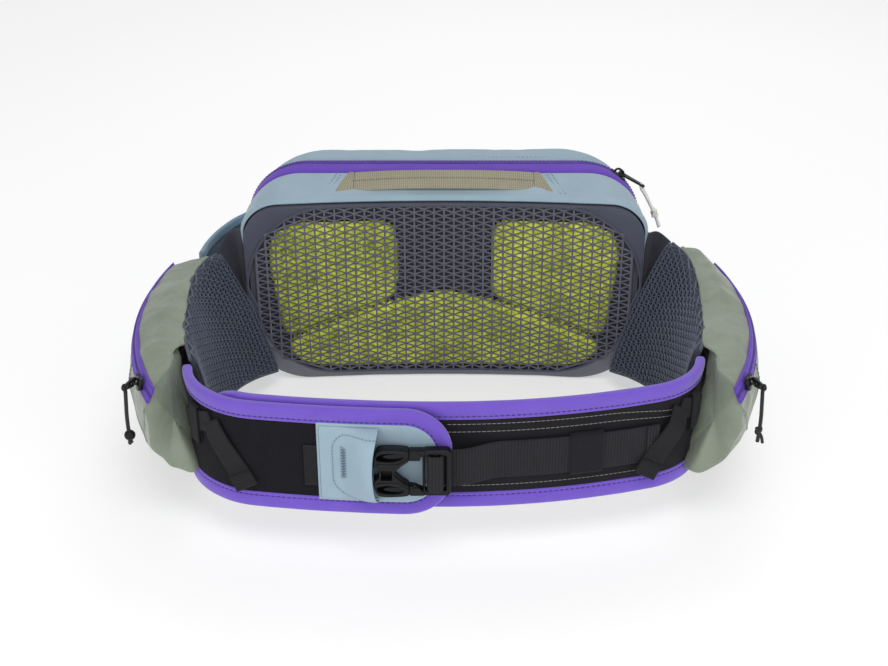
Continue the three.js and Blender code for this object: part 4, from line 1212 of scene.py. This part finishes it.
def build_patch():
    belt_strip("buckle_patch_cloth", PATCH_ROOT, PATCH_TIP, MIDDLE,
               lambda s: rounded_half(s, PATCH_TIP, 19, 26.6), PATCH_FACE, 1.1, SHELL, n=70, edge=0.5,
               points=16, replaces=["buckle_patch"], slot="shell")
    for k, s in enumerate((-71.6, -69.9)):
        path, out = on_belt(s, np.linspace(42, 90, 40), PATCH_FACE + 0.6)
        stitches(f"patch_edge_stitch_{k}", path, out, THREAD_BLUE, length=1.5, pitch=2.2, width=0.42)
    # The pocket over the patch, with its curved mouth towards the buckle. It stands open a little.
    share = np.linspace(0, 1, 30)
    rows = []
    for up in np.linspace(-1, 1, 30):
        s, z = lerp(POCKET_ROOT, POCKET_MOUTH - 3.0 * (1 - up**2), share), MIDDLE + 25.0 * up
        lift = pocket_lift(s, z) + 0.3 * wobble(xyz(share * 5, up * 3, 1), 1)
        rows.append(on_belt(s, z, PATCH_FACE + lift)[0])
    grid("buckle_pocket", rows, SHELL, flip=True, replaces=["buckle_tongue"], slot="shell", thick=0.8,
         towards=0, soft=True)
    # Stitching: a U open to the right, its ends run along the patch's edges, and a zigzag bar tack inside it.
    r, straight = 12.0, 9.4
    a = np.radians(np.linspace(91, 269, 30))
    reach = straight + r
    u = np.vstack([[(-39, reach), (-46, reach)],
                   np.stack([-52 + r * np.cos(a), straight * np.sign(np.sin(a)) + r * np.sin(a)], 1),
                   [(-46, -reach), (-39, -reach)]])
    s, z, _ = resample(xyz(u[:, 0], MIDDLE + u[:, 1], 0), 1.1)[0].T
    path, out = on_belt(s, z, PATCH_FACE + 0.85 + pocket_lift(s, z))
    stitches("patch_u_stitch", path, out, THREAD_BLUE, length=1.7, pitch=2.3, width=0.42)
    k = np.arange(23)
    s, z = -57.5 + 1.5 * np.where(k % 2, 1, -1), 57 + 0.95 * k
    zigzag = on_belt(s, z, PATCH_FACE + 0.75 + pocket_lift(s, z))[0]
    tube("patch_bartack", zigzag, 0.42, THREAD_PALE, slot="shell", sides=6)


def build_webbing():
    # The run from its sewn end to the buckle's bar.
    belt_strip("waist_strap", -10, 128.2, STRAP_Z, STRAP_WIDTH / 2,
               lambda s: STRAP_LIFT + 7.9 * (1 - smoothstep(s, 7, 34)), 1.7, WEBBING, n=150, edge=0.8,
               points=10, replaces=["waist_webbing"], slot="webbing")
    # Its sewn hem at the wing's end.
    belt_strip("strap_hem", 121, 129, STRAP_Z, 13, STRAP_LIFT + 1.2, 1.2, WEBBING, n=12, edge=0.6,
               slot="webbing")
    for k, s in enumerate((121.8, 123.6, 127.6)):
        path, out = on_belt(s, np.linspace(53.5, 76.5, 20), STRAP_LIFT + 2.0)
        stitches(f"strap_end_stitch_{k}", path, out, THREAD_DARK, length=1.6, pitch=2.2, width=0.5)
    loop_of_tape("keeper_loop", 74, 94, STRAP_Z, 28.4, STRAP_LIFT, 3.9, FLAP_CLOTH, 0.9, body="keeper",
                 replaces=["webbing_keeper"], slot="webbing")


def loop_of_tape(name, s0, s1, z, high, offset, thick, material, wall, **more):
    """A flat sleeve round something that runs along the belt."""
    made = belt_strip(name, s0, s1, z, high / 2, offset, thick, material, n=14, edge=thick / 2 - 0.05,
                      points=10, **more)

    def open_ends(work):
        """Takes away the two end faces that grid() closed it with."""
        ends = [face for face in work.faces if len(face.verts) > 4]
        bmesh.ops.delete(work, geom=ends, context="FACES_ONLY")

    edit(made, open_ends)
    modifier(made, "SOLIDIFY", thickness=wall * MM, offset=-1.0)


# ---------- flat shapes with rounded edges ----------
def slab(name, outlines, depth, bevel, origin, axes, material, body, slot, **more):
    """Flat closed outlines in the plane of the first two axes, given depth about it and rounded edges."""
    curve = bpy.data.curves.new("slab", "CURVE")
    curve.dimensions = "2D"
    curve.fill_mode = "BOTH"
    curve.extrude = max(depth / 2 - bevel, 1e-4)
    curve.bevel_depth = bevel
    curve.bevel_resolution = 3
    curve.offset = -bevel
    for shape in outlines:
        line = curve.splines.new("POLY")
        line.points.add(len(shape) - 1)
        for point, (x, y) in zip(line.points, shape):
            point.co = (x, y, 0, 1)
        line.use_cyclic_u = True
    ob = bpy.data.objects.new("slab", curve)
    bpy.context.scene.collection.objects.link(ob)
    bpy.context.view_layer.update()
    mesh = bpy.data.meshes.new_from_object(ob.evaluated_get(bpy.context.evaluated_depsgraph_get()))
    verts = np.array([v.co[:] for v in mesh.vertices])
    faces = [list(p.vertices) for p in mesh.polygons]
    bpy.data.objects.remove(ob)
    bpy.data.curves.remove(curve)
    bpy.data.meshes.remove(mesh)
    made = finish(name, origin + verts @ np.array(axes), faces, material, body, slot=slot, **more)
    modifier(made, "WELD", merge_threshold=0.01 * MM)
    made.data.set_sharp_from_angle(angle=math.radians(35))


def rounded_rect(x0, x1, y0, y1, r):
    corners = ((x1 - r, y1 - r, 0), (x0 + r, y1 - r, 90), (x0 + r, y0 + r, 180), (x1 - r, y0 + r, 270))
    turn = np.linspace(0, 90, 7)
    return [(cx + r * math.cos(a), cy + r * math.sin(a))
            for cx, cy, start in corners for a in np.radians(start + turn)]


# ---------- buckle ----------
BUCKLE_Z, BUCKLE_BACK = 66.0, -152.4


def build_buckle():
    """Outlines are (x, height over the middle) pairs. Each piece lies between two depths over the back."""
    def piece(name, outlines, deep, top, bevel, body="pack", **more):
        origin = vec(0, BUCKLE_BACK - (deep + top) / 2, BUCKLE_Z)
        slab(name, outlines, top - deep, bevel, origin, (X, Z, -Y), PLASTIC, body, "plastic", **more)

    def mirrored(points, side, n):
        return closed_spline([(x, side * z) for x, z in points], n)

    half = [(-40.8, 5.2), (-40.2, 11), (-37.8, 15.2), (-32, 16), (-25, 15.7), (-20.6, 14.8), (-20, 12),
            (-20.4, 8.6), (-23.5, 6.2), (-27, 2.9), (-28.6, 0)]
    lower_half = [(x, -z) for x, z in reversed(half[:-1])]
    socket = closed_spline(half + lower_half + [(-38.6, -3.6), (-37.2, 0), (-38.6, 3.6)], 6)
    eye = [(-38.6, 9.4), (-37.6, 12.6), (-32.5, 13.9), (-26, 13.4), (-23.4, 11.4), (-26.5, 9.2), (-33, 8.2)]
    channel = rounded_rect(-36.4, -30.2, -4.4, 2.2, 1.0)
    piece("buckle_socket_face", [socket, mirrored(eye, 1, 6), mirrored(eye, -1, 6), channel], 2.0, 7.7, 1.0,
          replaces=["buckle_female"])
    piece("buckle_socket_back", [socket], 0.0, 2.4, 0.6)
    halves = ((1, "upper", "prong_top"), (-1, "lower", "prong_bottom"))
    ridge = [(-38.5, 6.6), (-33, 6.3), (-27, 6.6), (-23, 8.6), (-21, 10.6)]
    for side, name, _ in halves:
        line = spline([(x, BUCKLE_BACK - 7.7, BUCKLE_Z + side * z) for x, z in ridge], 20)
        tube(f"buckle_ridge_{name}", line, 0.75, PLASTIC, slot="plastic", sides=8)

    slots = [rounded_rect(-10.6, -6.6, -12.2, 12.2, 0.8), rounded_rect(-3.2, 1.2, -12.2, 12.2, 0.8)]
    piece("buckle_plug_frame", [rounded_rect(-12.4, 4, -15.6, 15.6, 2.6)] + slots, 0.4, 6.6, 1.1,
          "buckle_plug", replaces=["buckle_male"])
    shoulder = [(-11.2, 15.0), (-16, 15.2), (-20.2, 14.6), (-20.4, 9.6), (-18.2, 9.0), (-15, 10.2),
                (-11.2, 12.6)]
    prong = [(-15.6, 9.0), (-15.6, 13.4), (-22, 13.9), (-28, 13.6), (-34, 12.6), (-35.4, 10.8), (-32, 9.4),
             (-26, 9.4), (-20.5, 9.2)]
    for side, name, prong_body in halves:
        piece(f"buckle_shoulder_{name}", [mirrored(shoulder, side, 5)], 0.8, 7.2, 0.9, "buckle_plug")
        grip = rounded_rect(-20.0, -13.4, side * 12 - 2.6, side * 12 + 2.6, 1.2)
        piece(f"buckle_block_{name}", [grip], 6.4, 8.0, 0.6, "buckle_plug")
        piece(f"buckle_prong_{name}", [mirrored(prong, side, 5)], 1.8, 6.4, 1.3, prong_body,
              replaces=[f"prong_{name}"])
    # Webbing round the plug's centre bar.
    turn = [(-9.4, 1.6), (-9.2, 5), (-8.2, 7.4), (-5, 7.9), (-1.8, 7.4), (-0.9, 5), (-0.7, 1.6)]
    path = spline([(x, BUCKLE_BACK - deep, BUCKLE_Z) for x, deep in turn], 40)
    ribbon("strap_turn", path, Z, unit(np.cross(Z, tangents(path))), flat_section(24.4, 1.3, 0.6, 8), WEBBING,
           "buckle_plug", replaces=["webbing_turn"], slot="webbing")


# ---------- ventilation straps ----------
def build_vent_strap(side, name):
    """A strap down each end of the belt, held by a loop of tape, with a blank tag at its own end."""
    offset = (0 if side > 0 else OUTER) + CORE / 2 + 0.35
    end = abs(belt_end(side))
    loop_of_tape(f"vent_loop_tape_{name}", side * (end - 27), side * (end - 20), 77, 26, offset + 1.5, 3.2,
                 TAPE, 1.0, replaces=[f"vent_loop_{name}"], slot="plastic")

    def strap_run(d0, d1, z0, z1, n, rise):
        """A run of the strap between two distances from the belt's end and two heights."""
        t = np.linspace(0, 1, n)
        path, out = on_belt(side * (end - lerp(d0, d1, t)), lerp(z0, z1, t),
                            offset + 1.1 + rise * smoothstep(t, 0, 0.3))
        return path, out, unit(np.cross(out, tangents(path)))

    length, rise = (58, 3.4) if side > 0 else (53, 0.0)
    path, out, wide = strap_run(35, length, 84, 47, 30, rise)
    path += out * (0.5 * np.sin(np.linspace(0, 2 * math.pi, 30)))[:, None]
    ribbon(f"vent_strap_tape_{name}", path, wide, out, flat_section(15, 1.4, 0.6, 6), TAPE, f"{name}_vent",
           replaces=[f"vent_strap_{name}"], slot="webbing")
    # The strap's root comes from under the wing through the loop.
    root, root_out, root_wide = strap_run(12, 36, 74, 84, 20, 0)
    ribbon(f"vent_strap_root_{name}", root, root_wide, root_out, flat_section(13, 1.3, 0.5, 6), TAPE,
           slot="webbing")
    # Its folded, blank end tag.
    along = unit(path[-1] - path[-4])
    tag = [path[-1] + along * d + out[-1] * 1.15 for d in (-7, -3, 1, 3)]
    ribbon(f"vent_tag_{name}", tag, unit(np.cross(out[-1], along)), out[-1], flat_section(15.6, 0.9, 0.4, 6),
           TAG, f"{name}_vent", slot="webbing")


# ---------- zip sliders, tabs and cords ----------
def build_slider(name, node, body, foot, along, out, tilt, length):
    """A slider and its pull tab. Gives the tab's tip, where a cord ties on."""
    along, out = unit(along), unit(out)
    across = np.cross(out, along)
    sole = closed_spline([(-5.5, -2.5), (-5.5, 2.5), (-1.5, 3.0), (2.5, 4.2), (6.4, 3.0), (7.4, 0),
                          (6.4, -3.0), (2.5, -4.2), (-1.5, -3.0)], 6)
    slab(f"{name}_slider_plate", [sole], 2.6, 0.7, foot + out * 1.3, (along, across, out), METAL,
         f"{body}_slider_body", "metal", replaces=[f"{node}_slider"])
    arch = [(-3.3, 2.45), (-3.2, 4.4), (-2, 5.8), (0, 6.0), (2, 5.8), (3.2, 4.4), (3.3, 2.45)]
    tube(f"{name}_slider_bridge", spline([foot + along * a + out * h for a, h in arch], 24), 0.85, METAL,
         f"{body}_slider_body", slot="metal")
    a = math.radians(tilt)
    forward, up = along * math.cos(a) + out * math.sin(a), out * math.cos(a) - along * math.sin(a)
    pivot = foot + out * 3.75
    tab = closed_spline([(0.15, -2.8), (0.15, 2.8), (6, 2.9), (length - 4, 2.3), (length - 0.6, 1.6),
                         (length, 0), (length - 0.6, -1.6), (length - 4, -2.3), (6, -2.9)], 5)
    eye = [(length - 2.6 + math.cos(k), math.sin(k)) for k in np.arange(16) * math.pi / 8]
    slab(f"{name}_tab", [tab, rounded_rect(0.9, 5.2, -1.5, 1.5, 0.4), eye], 1.5, 0.4, pivot,
         (forward, across, up), METAL, f"{body}_pull", "metal", replaces=[f"{node}_pull_tab"])
    return pivot + forward * (length - 2.4)


def knot(name, centre, axis, radius, cord, material, body):
    """A small overhand knot, drawn as a few crossing wraps."""
    axis = unit(np.asarray(axis, float))
    side = unit(np.cross(axis, vec(0.3, 1, 0.2)))
    a = 2 * math.pi * 2.3 * np.linspace(0, 1, 70)[:, None]
    r = radius * (0.75 + 0.25 * np.cos(a * 1.5))
    path = centre + side * (r * np.cos(a)) + np.cross(axis, side) * (r * np.sin(a))
    return tube(name, path + axis * (radius * 1.3 * np.sin(a * 0.75 + 0.6)), cord, material, body)


def declare_cord(cord, line):
    float(lengths(line)[-1] * MM)


def build_main_pull():
    """The main zip's puller is a doubled cord, looped through its tab, with a knot near its end."""
    a = math.radians(52)
    out, along = vec(math.cos(a), 0, math.sin(a)), vec(math.sin(a), 0, -math.cos(a))
    foot = vec(99.1, 118.04, 106.7) + out * 42.25
    tip = build_slider("main", "main", "main", foot, along, out, 8, 22)
    drops = [(0, 0, -2.4), (4, 0.6, -9), (8, 0.8, -17), (12, 0.6, -25), (15, 0, -33)]
    strands, lines = [], []
    for k, sideways in enumerate((-1.2, 1.2)):
        line = spline([tip + drop + vec(0.35, 0.94, 0) * sideways * (0.6 + 0.4 * math.cos(i * 1.3))
                       for i, drop in enumerate(drops)], 30)
        strands.append(tube(f"main_cord_strand_{k}", line, 1.15, WHITE_CORD, "main_pull", sides=12,
                            slot="cord_white", replaces=["main_pull_cord"] if k == 0 else ()))
        lines.append(line)
    ring = [tip + vec(-1.0, -0.9, -0.4), tip + vec(-0.2, 0, 1.5), tip + vec(-1.0, 0.9, -0.4)]
    loop = tube("main_cord_loop", spline([lines[0][0], *ring, lines[1][0]], 24), 0.85, WHITE_CORD,
                "main_pull", slot="cord_white")
    tie = knot("main_cord_knot", tip + vec(10.6, 0.7, -22.2), (0.45, 0, -0.9), 1.9, 1.2, WHITE_CORD,
               "main_pull")
    declare_cord(strands[0], lines[0])


def build_pocket_pull(side, name):
    """A wing pocket's puller: a cord that ends in a bead on the left, in a knot and tail on the right."""
    body, angle = f"{name}_pull", ZIP_ARC["front"] + 2.2
    away, a = zip_away(side, angle), math.radians(angle)
    forward = vec(side * math.sin(a), -math.cos(a), 0)
    square = unit(away + 0.3 * Z)
    foot = zip_point(side, angle, 249.4, ZIP_Z) + away * 0.6 + square * 1.5
    tip = build_slider(f"{name}_pocket", f"pocket_{name}", name, foot, forward, square, 40, 14)

    def path(n, *steps):
        """A smooth run through points given from the tab's tip, with x away from the pack."""
        return spline([tip + vec(side * x, y, z) for x, y, z in steps], n)

    line = path(34 if side < 0 else 40, (0, 0, -2.6), (0.5, 0, -11), (1, 0, -20), (1, 0, -29), (0.6, 0, -38))
    cord = tube(f"{name}_pocket_cord", line, 1.2, BLACK_CORD, body, sides=12, slot="cord_black",
                replaces=[f"pocket_{name}_cord"])
    ring = path(24, (0, 0, -2.6), (1.2, -1.2, -0.5), (0.6, -0.4, 1.6), (-1.0, 0.9, 0.2), (0, 0.2, -2.8))
    pieces = [tube(f"{name}_pocket_cord_loop", ring, 0.8, BLACK_CORD, body, slot="cord_black")]
    end = line[-1]
    if side < 0:
        t = np.linspace(0, math.pi, 13)
        pieces += [tube("left_cord_ball", end + xyz(0, 0, 4.6 + 3.3 * np.cos(t)),
                        np.maximum(3.4 * np.sin(t), 0.15), PLASTIC, body, sides=20, slot="cord_black"),
                   knot("left_cord_knot", end, Z, 0.9, 0.85, BLACK_CORD, body)]
    else:
        tail = spline([end + vec(0, 0, 7.4), end + vec(2.0, -0.4, 3.6), end + vec(3.0, -0.6, -0.6)], 14)
        pieces += [knot("right_cord_knot", end + 8 * Z, Z, 1.4, 1.05, BLACK_CORD, body),
                   tube("right_cord_tail", tail, 0.95, BLACK_CORD, body, slot="cord_black")]
    declare_cord(cord, line)


# ---------- stage ----------
def link(name, data):
    ob = bpy.data.objects.new(name, data)
    bpy.context.scene.collection.objects.link(ob)
    return ob


def aim(ob, place, target):
    ob.location = place
    ob.rotation_euler = (Vector(target) - Vector(place)).to_track_quat("-Z", "Y").to_euler()


def build_stage():
    size, under, shade = 6, -0.0006, 0.6
    mesh = bpy.data.meshes.new("floor")
    mesh.from_pydata([(x, y, under) for x, y in ((-size, -size), (size, -size), (size, size), (-size, size))],
                     [], [(0, 1, 2, 3)])
    material = bpy.data.materials.new("pale_floor")
    material.use_nodes = True
    main = material.node_tree.nodes["Principled BSDF"].inputs
    main["Base Color"].default_value = (shade, shade, shade, 1)
    main["Roughness"].default_value = 0.9
    main["Emission Color"].default_value = (1, 1, 1, 1)
    main["Emission Strength"].default_value = 0.44
    mesh.materials.append(material)
    link("floor", mesh)

    world = bpy.data.worlds.new("studio")
    bpy.context.scene.world = world
    world.use_nodes = True
    background = world.node_tree.nodes["Background"].inputs
    background[0].default_value = (1, 1, 1, 1)
    background[1].default_value = 0.58

    for name, place, wide, power in (
        ("key", (0.1, -0.7, 1.3), 0.8, 5.5),
        ("fill_right", (0.85, -1.0, 0.5), 0.9, 2.6),
        ("fill_left", (-0.85, -1.0, 0.4), 0.9, 2.8),
        ("fill_front", (-0.1, -1.3, 0.45), 0.9, 1.4),
        ("rim", (0.2, 1.0, 1.1), 0.9, 3),
    ):
        lamp = bpy.data.lights.new(name, "AREA")
        lamp.shape = "DISK"
        lamp.size = wide
        lamp.energy = power
        aim(link(name, lamp), place, (0, 0, 0.08))

    view = bpy.data.cameras.new("camera")
    view.sensor_width = 36
    view.lens = 56.15
    camera = link("camera", view)
    elevation, distance, target = math.radians(28), 0.9, Vector((0, -0.031, 0.09))
    aim(camera, target + distance * Vector((0, -math.cos(elevation), math.sin(elevation))), target)
    bpy.context.scene.camera = camera
    bpy.context.scene.view_settings.view_transform = "Standard"


build_bag()
build_main_zip()
build_top_seams()
build_handle()
build_rim()
build_back_mesh()
build_pads()
build_outer_pocket()
build_inside()
for side, name in SIDES:
    build_wing(side, name)
    build_pocket(side, name)
    build_side_pocket(side, name)
build_belt()
build_webbing()
build_buckle()
for side, name in SIDES:
    build_vent_strap(side, name)
build_main_pull()
for side, name in SIDES:
    build_pocket_pull(side, name)
build_slider("outer", "outer", "outer", vec(74, 154.1, 102.6), X, Y, 6, 16)
build_stage()
